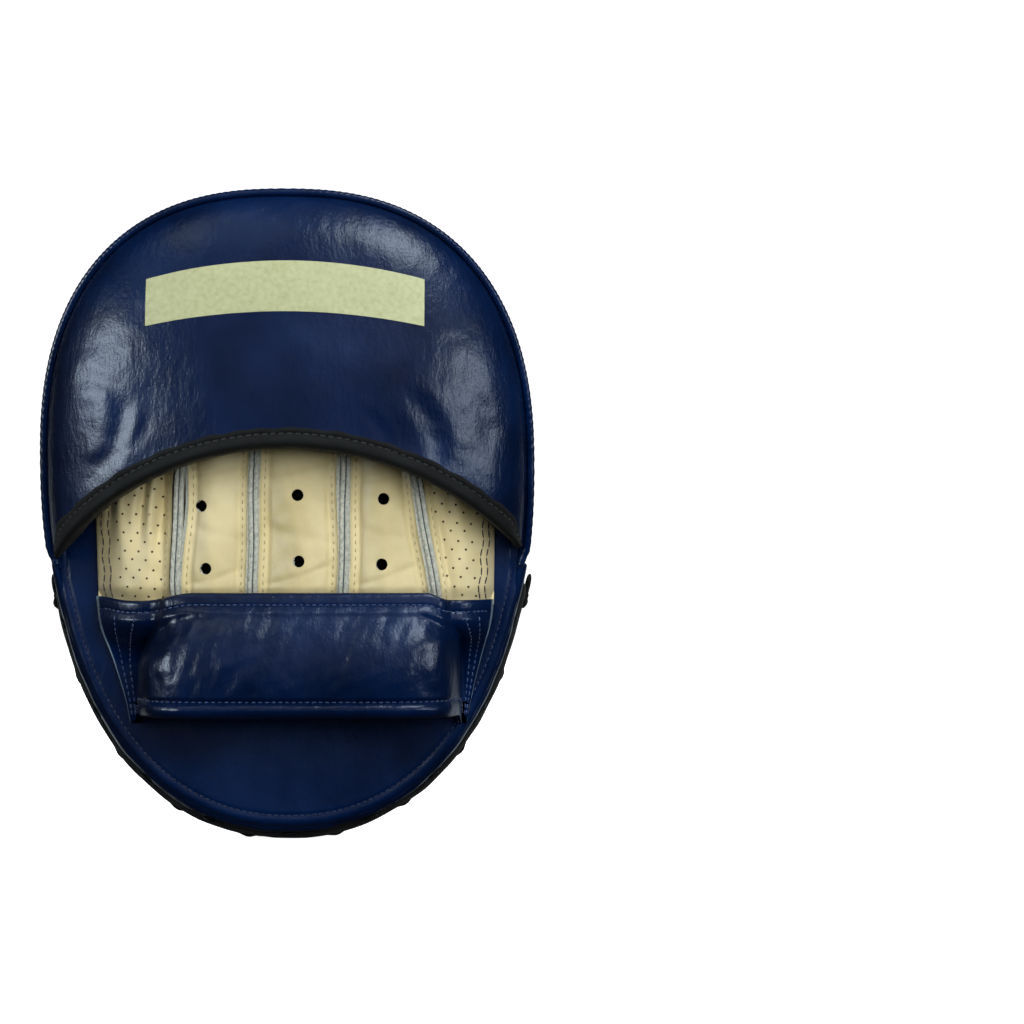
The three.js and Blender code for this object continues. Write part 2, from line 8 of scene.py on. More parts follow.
import bmesh
import bpy
import numpy as np
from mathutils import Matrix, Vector


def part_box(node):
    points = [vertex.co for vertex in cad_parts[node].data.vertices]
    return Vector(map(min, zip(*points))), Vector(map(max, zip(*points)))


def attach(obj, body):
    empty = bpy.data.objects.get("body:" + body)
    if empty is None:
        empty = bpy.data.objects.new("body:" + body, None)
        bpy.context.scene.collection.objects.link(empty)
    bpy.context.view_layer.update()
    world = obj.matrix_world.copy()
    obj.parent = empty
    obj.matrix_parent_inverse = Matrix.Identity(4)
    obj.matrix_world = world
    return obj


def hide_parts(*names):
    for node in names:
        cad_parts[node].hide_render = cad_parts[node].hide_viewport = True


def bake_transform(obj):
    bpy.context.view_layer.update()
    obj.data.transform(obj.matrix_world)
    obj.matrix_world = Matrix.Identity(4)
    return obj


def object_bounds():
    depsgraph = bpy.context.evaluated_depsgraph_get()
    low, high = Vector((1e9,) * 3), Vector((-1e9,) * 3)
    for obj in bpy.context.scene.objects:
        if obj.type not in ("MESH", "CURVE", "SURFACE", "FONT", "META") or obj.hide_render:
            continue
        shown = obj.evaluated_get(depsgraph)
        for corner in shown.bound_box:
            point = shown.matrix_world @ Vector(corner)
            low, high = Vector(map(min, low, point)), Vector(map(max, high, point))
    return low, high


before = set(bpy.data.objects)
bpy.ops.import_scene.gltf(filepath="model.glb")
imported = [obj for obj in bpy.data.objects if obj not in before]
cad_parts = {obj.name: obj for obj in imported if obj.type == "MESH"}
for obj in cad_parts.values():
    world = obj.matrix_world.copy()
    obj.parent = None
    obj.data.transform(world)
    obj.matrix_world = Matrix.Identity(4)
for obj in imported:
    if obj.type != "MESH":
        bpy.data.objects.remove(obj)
cad_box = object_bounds()

MM = 0.001


def node_box(name):
    """A CAD node's lowest and highest corner, in millimetres."""
    low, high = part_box(name)
    return np.array(low) / MM, np.array(high) / MM


# ---------- Sizes, from the frame where it has them ----------

face_low, face_high = node_box("face_cover")
gusset_high = node_box("upper_gusset")[1]
patch_low, patch_high = node_box("target_patch")
cover_low = node_box("back_cover")[0]
hood_low = node_box("hood_outer")[0]
centre_low, centre_high = node_box("cuff_outer")
left_tab_low = node_box("cuff_tab_left")[0]
right_tab_high = node_box("cuff_tab_right")[1]

BACK_Y = cover_low[1]
FACE_Y = face_high[1]
FRONT_SEAM_Y = face_low[1]
LEATHER = 1.5

REAR = {
    "half": gusset_high[0] - 0.4, "centre": 68, "top": gusset_high[2] - 70.8, "bottom": 145.8,
    "powers": (2.44, 2.2)}
FRONT = {
    "half": face_high[0], "centre": 56, "top": face_high[2] - 56, "bottom": 56 - face_low[2],
    "powers": (2.5, 2.3),
}
PATCH = {
    "half": patch_high[0], "centre": 50, "top": patch_high[2] - 50, "bottom": 50 - patch_low[2],
    "powers": (2.7, 1.9),
}
HOOD_END = 102
SEAM_RUN_OUT = 10
LACED_INSET = 0.8
WALL_BULGE, LACED_BULGE, RIGHT_FLATTER = 1.8, 3.4, 2.0

LIP_CENTRE = (2, -49)
LIP_RADIUS = 126
HOOD_HEIGHT = BACK_Y - hood_low[1]
HOOD_DEPTH = 12.3
HOOD_EDGE_INSET = 1.8

# Each glove edge and welt is a straight line, given by its x at the glove's lower edge and at SEAM_TOP.
GLOVE_SEAMS = [(-76.6, -78.4), (-43.6, -41.4), (-12.6, -12.6), (22.7, 23.6), (59.3, 52), (82.9, 83.8)]
SEAM_TOP, SEAM_REACH = 68, 1.3
GLOVE_TIPS = [112, 136, 144, 138, 118]
GLOVE_NAMES = ["thumb", "index", "middle", "ring", "little"]
GLOVE_BOTTOM = node_box("middle_panel")[0][2]
WELT_HEIGHT = 19
PANEL_CROWN = 6
FLANGE_HEIGHT = 3.6
VENT_RADIUS = 2.35
VENTS = {
    "index": [(-31.4, 28.3), (-33.2, 53.2)], "middle": [(5.6, 31.2), (5.1, 57.5)],
    "ring": [(38.5, 30), (39.3, 56)],
}

CUFF_TOP = centre_high[2]
CUFF_BOTTOM = centre_low[2]
CUFF_LEFT, CUFF_RIGHT = centre_low[0], centre_high[0]
TAB_BOTTOM = left_tab_low[2]

# ---------- Camera, backdrop and lights ----------

VIEW_X, VIEW_Z = 0.0902, 0.0508
VIEW_DISTANCE = 1.25
VIEW_WIDTH = 0.4096


def make_camera():
    camera = bpy.data.objects.new("camera", bpy.data.cameras.new("camera"))
    bpy.context.scene.collection.objects.link(camera)
    camera.location = (VIEW_X, -VIEW_DISTANCE, VIEW_Z)
    camera.rotation_euler = (math.radians(90), 0, 0)
    camera.data.lens = camera.data.sensor_width * VIEW_DISTANCE / VIEW_WIDTH
    camera.data.clip_end = 20
    bpy.context.scene.camera = camera


def make_backdrop():
    """A pale round studio floor that curves up into a wall. It stays out of the leather's reflections,
    which show only the softboxes."""
    floor_z = cad_box[0].z - 0.0005
    reach, curve, height = 2.6, 0.9, 2.4
    profile = [(0.02, floor_z), (reach - curve, floor_z)]
    for step in range(1, 17):
        turn = math.radians(90 * step / 16)
        profile.append((reach - curve + curve * math.sin(turn), floor_z + curve * (1 - math.cos(turn))))
    profile.append((reach, floor_z + height))
    turns = around(96)
    points = [(radius * math.sin(turn), radius * math.cos(turn), z)
              for turn in turns for radius, z in profile]
    mesh = bpy.data.meshes.new("backdrop")
    middle = [turn * len(profile) for turn in range(len(turns))]
    mesh.from_pydata(points, [], grid_faces(len(turns), len(profile), True) + [middle])
    mesh.shade_smooth()
    backdrop = bpy.data.objects.new("backdrop", mesh)
    bpy.context.scene.collection.objects.link(backdrop)
    backdrop.visible_glossy = False
    backdrop.visible_diffuse = False
    material = bpy.data.materials.new("pale_floor")
    material.use_nodes = True
    shader = material.node_tree.nodes["Principled BSDF"]
    shader.inputs["Base Color"].default_value = (0.85, 0.85, 0.85, 1)
    shader.inputs["Roughness"].default_value = 0.9
    shader.inputs["Specular IOR Level"].default_value = 0.1
    shader.inputs["Emission Color"].default_value = (1, 1, 1, 1)
    shader.inputs["Emission Strength"].default_value = 0.9
    mesh.materials.append(material)


def add_light(name, place, target, width, depth, watts):
    light = bpy.data.lights.new(name, "AREA")
    light.shape = "RECTANGLE"
    light.size, light.size_y = width, depth
    light.energy = watts
    lamp = bpy.data.objects.new(name, light)
    bpy.context.scene.collection.objects.link(lamp)
    lamp.location = place
    lamp.rotation_euler = (Vector(target) - Vector(place)).to_track_quat("-Z", "Y").to_euler()
    lamp.visible_camera = False
    return lamp


def make_lights():
    """Softboxes that only draw the highlights, and broad fills that only light the colours."""
    middle = (0, 0, 0.05)
    for name, place, width, depth, watts in (
            ("top_right_softbox", (0.5, -0.62, 1.05), 0.5, 0.42, 10),
            ("top_left_softbox", (-0.45, -0.58, 1.05), 0.4, 0.35, 1.1),
            ("left_softbox", (-1.15, -0.76, 0.27), 0.7, 0.32, 15),
            ("right_softbox", (1.15, -0.76, 0.22), 0.6, 0.32, 7),
            ("left_rim", (-0.6, 1.4, 0.1), 0.9, 1.5, 3.5), ("right_rim", (0.6, 1.4, 0.1), 0.9, 1.5, 3.5)):
        softbox = add_light(name, place, middle, width, depth, watts)
        softbox.data.color = (0.76, 0.89, 1.0)
        softbox.visible_diffuse = False
    for name, place, watts in (("front_fill", (0.3, -1.2, 0.5), 24), ("rear_fill", (0, 1.4, 0.7), 25),
                               ("floor_wash", (0, 0, 2.5), 30)):
        fill = add_light(name, place, middle, 1.2, 1.0, watts)
        fill.visible_glossy = False
    world = bpy.data.worlds.new("studio")
    world.use_nodes = True
    world.node_tree.nodes["Background"].inputs["Color"].default_value = (0.82, 0.86, 0.92, 1)
    world.node_tree.nodes["Background"].inputs["Strength"].default_value = 0.02
    bpy.context.scene.world = world
    bpy.context.scene.view_settings.view_transform = "Standard"


# ---------- Materials ----------


def srgb(red, green, blue):
    """An 8-bit screen colour as linear values."""
    def linear(value):
        value /= 255
        return value / 12.92 if value <= 0.04045 else ((value + 0.055) / 1.055) ** 2.4
    return (linear(red), linear(green), linear(blue), 1)


def feed(tree, node, **inputs):
    """Sets a node's inputs, named with _ for a space, to numbers or to other nodes' outputs."""
    for name, value in inputs.items():
        socket = node.inputs[name.replace("_", " ")]
        if isinstance(value, bpy.types.NodeSocket):
            tree.links.new(value, socket)
        else:
            socket.default_value = value
    return node


def add_node(tree, kind, **inputs):
    return feed(tree, tree.nodes.new("ShaderNode" + kind), **inputs)


def new_material(name, **inputs):
    material = bpy.data.materials.new(name)
    material.use_nodes = True
    tree = material.node_tree
    shader = feed(tree, tree.nodes["Principled BSDF"], **inputs)
    return material, tree, shader, add_node(tree, "TexCoord").outputs["Object"]


def add_noise(tree, place, scale, detail=3.0, roughness=0.55, stretch=None):
    if stretch:
        place = add_node(tree, "Mapping", Vector=place, Scale=stretch).outputs["Vector"]
    node = add_node(tree, "TexNoise", Vector=place, Scale=scale, Detail=detail, Roughness=roughness)
    return node.outputs["Fac"]


def add_range(tree, value, low, high, to_low, to_high):
    node = add_node(tree, "MapRange", Value=value, From_Min=low, From_Max=high, To_Min=to_low, To_Max=to_high)
    return node.outputs["Result"]


def add_colours(tree, value, stops):
    """A ramp through (place, 8-bit colour) stops."""
    ramp = add_node(tree, "ValToRGB", Fac=value)
    while len(ramp.color_ramp.elements) < len(stops):
        ramp.color_ramp.elements.new(0.5)
    for element, (place, colour) in zip(ramp.color_ramp.elements, stops):
        element.position = place
        element.color = srgb(*colour)
    return ramp.outputs["Color"]


def add_bump(tree, height, distance, strength=1.0, **under):
    node = add_node(tree, "Bump", Strength=strength, Distance=distance, Height=height, **under)
    return node.outputs["Normal"]


def leather_material(name, colours, roughness, grain=0.00016, crease=0.0007, coat=0.0, sheen=0.0):
    """Finished leather: fine grain and small wrinkles over broad creases, with uneven gloss and colour."""
    material, tree, shader, place = new_material(
        name, Specular_IOR_Level=0.33, Coat_Weight=coat, Coat_Roughness=0.22, Sheen_Weight=sheen)
    broad = add_noise(tree, place, 28, 4)
    fold = add_noise(tree, place, 60, 5, 0.6, (1.0, 1.0, 0.5))
    wrinkle = add_noise(tree, place, 230, 4, 0.65, (1.0, 1.0, 0.4))
    pores = add_noise(tree, place, 620, 3, 0.6)
    normal = add_bump(tree, fold, crease, 0.5)
    normal = add_bump(tree, wrinkle, grain * 1.6, 0.6, Normal=normal)
    normal = add_bump(tree, pores, grain * 0.5, 0.6, Normal=normal)
    feed(tree, shader, Base_Color=add_colours(tree, broad, list(zip((0.3, 0.52, 0.75), colours))),
         Roughness=add_range(tree, broad, 0.3, 0.7, *roughness), Normal=normal)
    return material


def woven_material(name, dark, light, threads, roughness, height, sheen):
    """A plain weave seen close: two crossed sets of ribs."""
    material, tree, shader, place = new_material(name, Specular_IOR_Level=0.25, Sheen_Weight=sheen)
    weave = tree.nodes.new("ShaderNodeMath")
    weave.operation = "MULTIPLY"
    for index, direction in enumerate("XZ"):
        wave = add_node(tree, "TexWave", Scale=threads, Distortion=0.6, Vector=place)
        wave.bands_direction = direction
        tree.links.new(wave.outputs["Fac"], weave.inputs[index])
    ribs = weave.outputs[0]
    wear = add_range(tree, add_noise(tree, place, 60), 0.3, 0.7, roughness - 0.08, roughness + 0.1)
    feed(tree, shader, Base_Color=add_colours(tree, ribs, [(0.0, dark), (0.9, light)]), Roughness=wear,
         Normal=add_bump(tree, ribs, height, 0.8))
    return material


def noise_material(name, noise, stops, bump=None, worn=None, **inputs):
    """One noise gives the colours, and where they are asked for the relief and the uneven roughness."""
    material, tree, shader, place = new_material(name, **inputs)
    pattern = add_noise(tree, place, *noise)
    feed(tree, shader, Base_Color=add_colours(tree, pattern, stops))
    if bump:
        feed(tree, shader, Normal=add_bump(tree, pattern, *bump))
    if worn:
        feed(tree, shader, Roughness=add_range(tree, pattern, 0.3, 0.7, *worn))
    return material


def thread_material(name, colour, shade):
    """Twisted polyester thread."""
    return noise_material(
        name, (1500, 2), [(0.35, shade), (0.65, colour)], (0.0001, 0.5), Roughness=0.5, Sheen_Weight=0.2)


def foam_material():
    material, tree, shader, place = new_material("foam", Roughness=0.95)
    cells = add_node(tree, "TexVoronoi", Scale=1400, Vector=place)
    cells.feature = "DISTANCE_TO_EDGE"
    distance = cells.outputs["Distance"]
    feed(tree, shader, Base_Color=add_colours(tree, distance, [(0.0, (95, 98, 102)), (0.4, (140, 143, 146))]),
         Normal=add_bump(tree, distance, 0.0003))
    return material


NAVY = leather_material(
    "navy_leather", [(0, 12, 39), (0, 19, 54), (1, 28, 69)], (0.3, 0.35), grain=0.0004, coat=0.08)
NAVY_FACE = leather_material(
    "navy_face", [(2, 13, 36), (3, 17, 45), (5, 23, 58)], (0.3, 0.36), crease=0.0005, coat=0.08)
BEIGE = leather_material(
    "beige_leather", [(186, 174, 126), (206, 194, 148), (218, 208, 166)], (0.42, 0.58), crease=0.0011,
    sheen=0.1)
NAVY_RAW = leather_material("navy_raw_edge", [(70, 88, 108), (98, 118, 136), (132, 150, 160)], (0.75, 0.9))
# Painted shade: the dark brown of the perforation discs stands for the shade inside each punched hole.
HOLE_SHADE = leather_material("hole_painted_shade", [(58, 48, 32), (74, 62, 42), (90, 76, 52)], (0.8, 0.95))
# Painted shade: a darker grey for the groove between a welt's two raw edges.
WELT_GROOVE_SHADE = leather_material("welt_groove_painted_shade", [(70, 78, 80), (92, 100, 100), (118, 124, 118)], (0.8, 0.95))
TAPE = woven_material("black_tape", (5, 5, 4), (14, 14, 12), 900, 0.7, 0.00008, 0.02)
LACE = woven_material("black_lace", (8, 8, 9), (22, 24, 25), 700, 0.75, 0.00015, 0.03)
LINING = woven_material("dark_lining", (10, 10, 11), (27, 28, 30), 600, 0.8, 0.0001, 0.05)
NAVY_THREAD = thread_material("navy_thread", (52, 76, 126), (18, 32, 70))
BLACK_THREAD = thread_material("black_thread", (24, 25, 28), (8, 8, 10))
BROWN_THREAD = thread_material("brown_thread", (74, 60, 58), (38, 30, 36))
TAN_THREAD = thread_material("tan_thread", (182, 168, 124), (156, 142, 100))
GREY_THREAD = thread_material("grey_thread", (96, 100, 100), (62, 66, 70))
DEEP_THREAD = thread_material("deep_navy_thread", (24, 38, 72), (10, 18, 42))
# The cut edge of chrome-tanned hide: pale, fibrous and matt.
RAW_EDGE = noise_material(
    "raw_edge", (900, 5, 0.7), [(0.3, (128, 138, 136)), (0.5, (176, 180, 168)), (0.75, (205, 205, 186))],
    (0.0003, 0.7), Roughness=0.85, Sheen_Weight=0.3)
# Screen print: pale ink that lets a little of the leather's grain through.
INK = noise_material(
    "print_ink", (500, 4), [(0.25, (154, 160, 116)), (0.5, (168, 173, 131)), (0.8, (178, 183, 141))],
    (0.0001, 0.4), Roughness=0.55)
BOARD = noise_material(
    "board", (130, 4, 0.6, (1, 1, 0.2)), [(0.3, (48, 50, 52)), (0.7, (66, 68, 70))], worn=(0.45, 0.65))
# Blackened eyelets, worn a little at the rim.
EYELET = noise_material(
    "eyelet_metal", (300, 4), [(0.35, (18, 19, 22)), (0.75, (62, 64, 68))], Metallic=0.8, Roughness=0.42)
FOAM = foam_material()

# ---------- Mesh helpers ----------


def make_object(name, points, faces, materials, slots=None, sharp_degrees=42, closed=True):
    """A smooth-shaded mesh piece; points are in millimetres, and a closed one's faces turn outwards."""
    mesh = bpy.data.meshes.new(name)
    mesh.from_pydata((np.asarray(points, float) * MM).tolist(), [], faces)
    for material in materials:
        mesh.materials.append(material)
    if slots is not None:
        mesh.polygons.foreach_set("material_index", slots)
    if closed:
        shape = bmesh.new()
        shape.from_mesh(mesh)
        bmesh.ops.recalc_face_normals(shape, faces=shape.faces)
        shape.to_mesh(mesh)
        shape.free()
    mesh.shade_smooth()
    mesh.set_sharp_from_angle(angle=math.radians(sharp_degrees))
    thing = bpy.data.objects.new(name, mesh)
    bpy.context.scene.collection.objects.link(thing)
    return thing


def grid_faces(rows, columns, wrap_rows=False, start=0):
    """The quads of a grid of points, rows by columns."""
    i, j = np.meshgrid(np.arange(rows if wrap_rows else rows - 1), np.arange(columns - 1), indexing="ij")
    here, after = start + i * columns, start + (i + 1) % rows * columns
    return np.stack([here + j, here + j + 1, after + j + 1, after + j], -1).reshape(-1, 4).tolist()


def strip_faces(first, second, wrap=False):
    """The quads between two equally long rows of points."""
    last = len(first) if wrap else len(first) - 1
    return [(first[k], first[(k + 1) % len(first)], second[(k + 1) % len(first)], second[k])
            for k in range(last)]


def shell(name, surface, a_values, b_values, thickness, materials, wrap=False, edge_slot=0):
    """A closed skin: surface(a, b, lift) at lift 0, and again thickness below it, joined at the edges."""
    rows, columns = len(a_values), len(b_values)
    a, b = np.meshgrid(a_values, b_values, indexing="ij")
    points = np.vstack([surface(a, b, lift).reshape(-1, 3) for lift in (0.0, -thickness)])
    index = np.arange(2 * rows * columns).reshape(2, rows, columns)
    faces = grid_faces(rows, columns, wrap) + grid_faces(rows, columns, wrap, rows * columns)
    slots = [0] * len(faces)
    for column in (0, -1):
        faces += strip_faces(index[0, :, column].tolist(), index[1, :, column].tolist(), wrap)
    if not wrap:
        for row in (0, -1):
            faces += strip_faces(index[0, row].tolist(), index[1, row].tolist())
    slots += [edge_slot] * (len(faces) - len(slots))
    return make_object(name, points, faces, materials, slots)


def disc(name, surface, angles, rings, thickness, materials, edge_slot=0):
    """As shell, for surface(angle, ring, lift) whose last ring has shrunk to one point."""
    rows, columns = len(angles), len(rings) - 1
    a, b = np.meshgrid(angles, rings, indexing="ij")
    sides = []
    for lift in (0.0, -thickness):
        points = surface(a, b, lift)
        sides.append(np.vstack([points[:, :-1].reshape(-1, 3), points[:, -1].mean(axis=0)]))
    count = rows * columns + 1
    index = np.arange(rows * columns).reshape(rows, columns)
    faces = []
    for start in (0, count):
        faces += grid_faces(rows, columns, True, start)
        last_ring = (index[:, -1] + start).tolist()
        faces += [(last_ring[i], start + count - 1, last_ring[(i + 1) % rows]) for i in range(rows)]
    slots = [0] * len(faces)
    faces += strip_faces(index[:, 0].tolist(), (index[:, 0] + count).tolist(), True)
    slots += [edge_slot] * rows
    return make_object(name, np.vstack(sides), faces, materials, slots)


def rod_faces(steps, sides, start=0, closed=False):
    """The quads round a rod of rings, with a cap at each end unless the rod closes on itself."""
    index = start + np.arange(steps * sides).reshape(steps, sides)
    after = np.roll(index, -1, axis=0) if closed else index[1:]
    here = index if closed else index[:-1]
    quads = np.stack([here, np.roll(here, -1, axis=1), np.roll(after, -1, axis=1), after], -1)
    faces = quads.reshape(-1, 4).tolist()
    if not closed:
        faces += [index[0].tolist(), index[-1].tolist()]
    return faces


def sweep(name, sections, materials, slots_round=None):
    """A rod with a ring of points at each step, capped at both ends."""
    steps, sides = sections.shape[:2]
    slots = list(slots_round or [0] * sides) * (steps - 1) + [0, 0]
    return make_object(name, sections.reshape(-1, 3), rod_faces(steps, sides), materials, slots)


def bundle(name, rods, materials, closed=False):
    """Several rods, or closed rings, as one piece."""
    points, faces = [], []
    for sections in rods:
        faces += rod_faces(*sections.shape[:2], len(points), closed)
        points.extend(sections.reshape(-1, 3))
    return make_object(name, points, faces, materials)


def unit(vectors):
    return vectors / np.maximum(np.linalg.norm(vectors, axis=-1, keepdims=True), 1e-9)


def tube_sections(path, out, half_width, half_height, sides=10):
    """Elliptical rings round a path; out says which way is away from the surface."""
    along = unit(np.gradient(path, axis=0))
    side = unit(np.cross(along, out))
    up = unit(np.cross(side, along))
    turn = np.linspace(0, 2 * np.pi, sides, endpoint=False)
    return (path[:, None] + half_width * np.cos(turn)[None, :, None] * side[:, None]
            + half_height * np.sin(turn)[None, :, None] * up[:, None])


def closed_tube(path, out, half_width, half_height):
    """As tube_sections, for a path that ends where it starts."""
    wrapped = [np.concatenate([values[-2:], values, values[:2]]) for values in (path, out)]
    return tube_sections(*wrapped, half_width, half_height)[2:-2]


def resample(path, spacing):
    """Even steps along a path, and the position of each as a fractional index."""
    lengths = np.concatenate([[0], np.cumsum(np.linalg.norm(np.diff(path, axis=0), axis=1))])
    count = max(int(lengths[-1] / spacing), 2)
    wanted = (np.arange(count) + 0.5) * lengths[-1] / count
    return np.interp(wanted, lengths, np.arange(len(path)))


def at_index(values, index):
    low = np.clip(np.floor(index).astype(int), 0, len(values) - 2)
    share = (index - low)[:, None]
    return values[low] * (1 - share) + values[low + 1] * share


def stitches(name, rows, material, pitch=2.6, length=1.9, radius=0.28):
    """Rows of single stitches: each is a short thread whose ends go down into the leather.
    Each row is (path, out), the points of the seam and the way off the surface."""
    step, height, fat = np.array([(-0.5, -0.3, 0.5), (-0.32, 0.12, 0.9), (0.0, 0.26, 1.0), (0.32, 0.12, 0.9),
                                  (0.5, -0.3, 0.5)]).T
    turn = around(6)
    threads = []
    for path, out in rows:
        along = unit(np.gradient(path, axis=0))
        index = resample(path, pitch)
        centres, forward, up = at_index(path, index), unit(at_index(along, index)), unit(at_index(out, index))
        across = unit(np.cross(forward, up))
        core = (centres[:, None] + forward[:, None] * (step * length)[None, :, None]
                + up[:, None] * height[None, :, None])
        round_it = (np.cos(turn)[:, None] * across[:, None, :] + np.sin(turn)[:, None] * up[:, None, :])
        threads.append(core[:, :, None] + radius * fat[None, :, None, None] * round_it[:, None])
    return bundle(name, np.concatenate(threads), [material])


def surface_row(surface, a, b, lift=0.0):
    """The path surface(a, b) for two equally long lists, and the way off the surface along it."""
    path = surface(a, b, lift)
    return path, unit(surface(a, b, lift + 1.0) - path)


# ---------- Shape helpers ----------


def mix(a, b, share):
    return a + (b - a) * share


def smooth(value, low, high):
    t = np.clip((value - low) / (high - low), 0, 1)
    return t * t * (3 - 2 * t)


def bell(value, centre, width):
    """1 at the centre, and about a third at width away from it."""
    return np.exp(-((value - centre) / width) ** 2)


def around(count):
    """Even angles round a circle."""
    return np.linspace(0, 2 * np.pi, count, endpoint=False)


def signed_power(value, power):
    return np.sign(value) * np.abs(value) ** power


def waves(x, z, length, seed, stretch=1.0):
    """Gentle irregular swells about length across, from -1 to 1 or so; stretch lengthens them along z."""
    random = np.random.default_rng(seed)
    total = np.zeros(np.broadcast(x, z).shape)
    for _ in range(9):
        heading = random.uniform(0, 2 * np.pi)
        size = length * random.uniform(0.7, 1.6)
        phase = random.uniform(0, 2 * np.pi)
        along = x * math.cos(heading) + z / stretch * math.sin(heading)
        total = total + np.sin(along * 2 * np.pi / size + phase)
    return total / 3


def crease(x, z, start, end, width, depth):
    """A fold line from start to end: a groove between two soft ridges, dying away at its ends."""
    dx, dz = end[0] - start[0], end[1] - start[1]
    length = math.hypot(dx, dz)
    along = ((x - start[0]) * dx + (z - start[1]) * dz) / length ** 2
    bend = 0.12 * length * np.sin(np.pi * np.clip(along, 0, 1))
    across = ((x - start[0]) * dz - (z - start[1]) * dx) / length + bend
    fade = smooth(along, -0.08, 0.3) * (1 - smooth(along, 0.7, 1.08))
    ridge = 0.45 * (bell(across, 1.7 * width, width) + bell(across, -1.7 * width, width))
    return depth * fade * (ridge - bell(across, 0, width))


def outline_point(outline, angle, inset=0.0):
    up = np.cos(angle) >= 0
    power = np.where(up, *outline["powers"])
    height = np.where(up, outline["top"], outline["bottom"]) - inset
    x = (outline["half"] - inset) * signed_power(np.sin(angle), 2 / power)
    z = outline["centre"] + height * signed_power(np.cos(angle), 2 / power)
    return x, z


def outline_share(outline, x, z, inset=0.0):
    """0 at the outline's centre and 1 on it."""
    up = z >= outline["centre"]
    power = np.where(up, *outline["powers"])
    height = np.where(up, outline["top"], outline["bottom"]) - inset
    across = np.abs(x / (outline["half"] - inset))
    return (across ** power + np.abs((z - outline["centre"]) / height) ** power) ** (1 / power)


def outline_angle(outline, x, z):
    up = z >= outline["centre"]
    power = np.where(up, *outline["powers"]) / 2
    height = np.where(up, outline["top"], outline["bottom"])
    up = signed_power((z - outline["centre"]) / height, power)
    return np.arctan2(signed_power(x / outline["half"], power), up)


# ---------- The pad's side wall ----------


def pocket_height(angle):
    degrees = np.abs(np.degrees(np.arctan2(np.sin(angle), np.cos(angle))))
    raised = 3.2 + 24 * np.cos(np.radians(np.minimum(degrees, HOOD_END - 0.01) / HOOD_END * 90)) ** 0.8
    run_out = 3.2 * (1 - smooth(degrees, HOOD_END, HOOD_END + SEAM_RUN_OUT))
    return np.where(degrees < HOOD_END, raised, run_out)


def wall(angle, share, lift):
    """The side wall: share runs from the front seam, 0, to the rear seam, 1."""
    turned = np.arctan2(np.sin(angle), np.cos(angle))
    laced = smooth(np.abs(np.degrees(turned)), HOOD_END, HOOD_END + SEAM_RUN_OUT)
    inset = LACED_INSET * laced
    full = LACED_BULGE - RIGHT_FLATTER * smooth(np.sin(turned), 0.0, 0.4)
    out = lift + mix(WALL_BULGE, full, laced) * 4 * share * (1 - share)
    front_x, front_z = outline_point(FRONT, turned, -out)
    rear_x, rear_z = outline_point(REAR, turned, inset - out)
    rear_y = BACK_Y - pocket_height(turned) + 1.6
    return np.stack([mix(front_x, rear_x, share), mix(FRONT_SEAM_Y - 0.3, rear_y, share),
                     mix(front_z, rear_z, share)], axis=-1)


def wall_depth_span(angle):
    return FRONT_SEAM_Y - (BACK_Y - pocket_height(angle) + 1.6)


def tucked(distance, depth, reach):
    """How far an edge sinks as it nears its seam."""
    return -depth * bell(distance, 0, reach)


def make_gusset():
    def surface(angle, share, lift):
        span = wall_depth_span(angle)
        relief = tucked(share * span, 1.5, 1.6) + tucked((1 - share) * span, 1.2, 1.5)
        arc = angle * 95
        relief = relief + 0.28 * waves(arc, share * span, 26, 3) * np.sin(np.pi * share)
        relief = relief + 0.22 * np.sin(arc / 1.35) * np.exp(-(share * span / 3.5))
        relief = relief + 0.2 * np.sin(arc / 1.6 + 1) * np.exp(-((1 - share) * span / 4))
        for place, tilt in ((-1.45, 0.1), (-1.2, -0.12), (1.3, 0.1), (1.52, -0.08), (0.6, 0.06)):
            across = (angle - place - tilt * (share - 0.5)) * 95
            dent = 0.5 * bell(across, 0, 1.6)
            relief = relief - dent * smooth(share, 0.1, 0.5) * (1 - smooth(share, 0.6, 0.95))
        sunk = 1.3 * (1 - smooth((ends - np.abs(angle)) * 95, 0, 5))
        return wall(angle, share, lift + relief - sunk)

    ends = math.radians(HOOD_END + 2.2)
    gusset = shell("gusset_leather", surface, np.linspace(-ends, ends, 420), edge_spaced(26), LEATHER, [NAVY])
    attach(gusset, "pad")
    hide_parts("upper_gusset")


def edge_spaced(count):
    """Steps from 0 to 1, closer together towards both ends."""
    return 0.5 - 0.5 * np.cos(np.pi * np.linspace(0, 1, count))


LACED_START = math.radians(HOOD_END + 1)
LACED_END = 2 * np.pi - LACED_START
LACE_FIRST = math.radians(112)
LACE_LAST = 2 * np.pi - LACE_FIRST
LACE_CROSSINGS = 8
FRONT_EYELETS, BACK_EYELETS = 0.27, 0.73


def facing_surface(low, high, seam_at_low):
    def surface(angle, share, lift):
        span = wall_depth_span(angle)
        seam_distance = (share - low) * span if seam_at_low else (high - share) * span
        hem_distance = (high - share) * span if seam_at_low else (share - low) * span
        arc = angle * 85
        relief = tucked(seam_distance, 1.4, 1.5) + 0.7 * (1 - bell(hem_distance, 0, 0.9))
        puckers = 0.16 * np.sin(arc / 1.4) * np.exp(-seam_distance / 3)
        relief = relief + 0.18 * waves(arc, share * span, 16, 8) + puckers
        return wall(angle, share, lift + relief)
    return surface


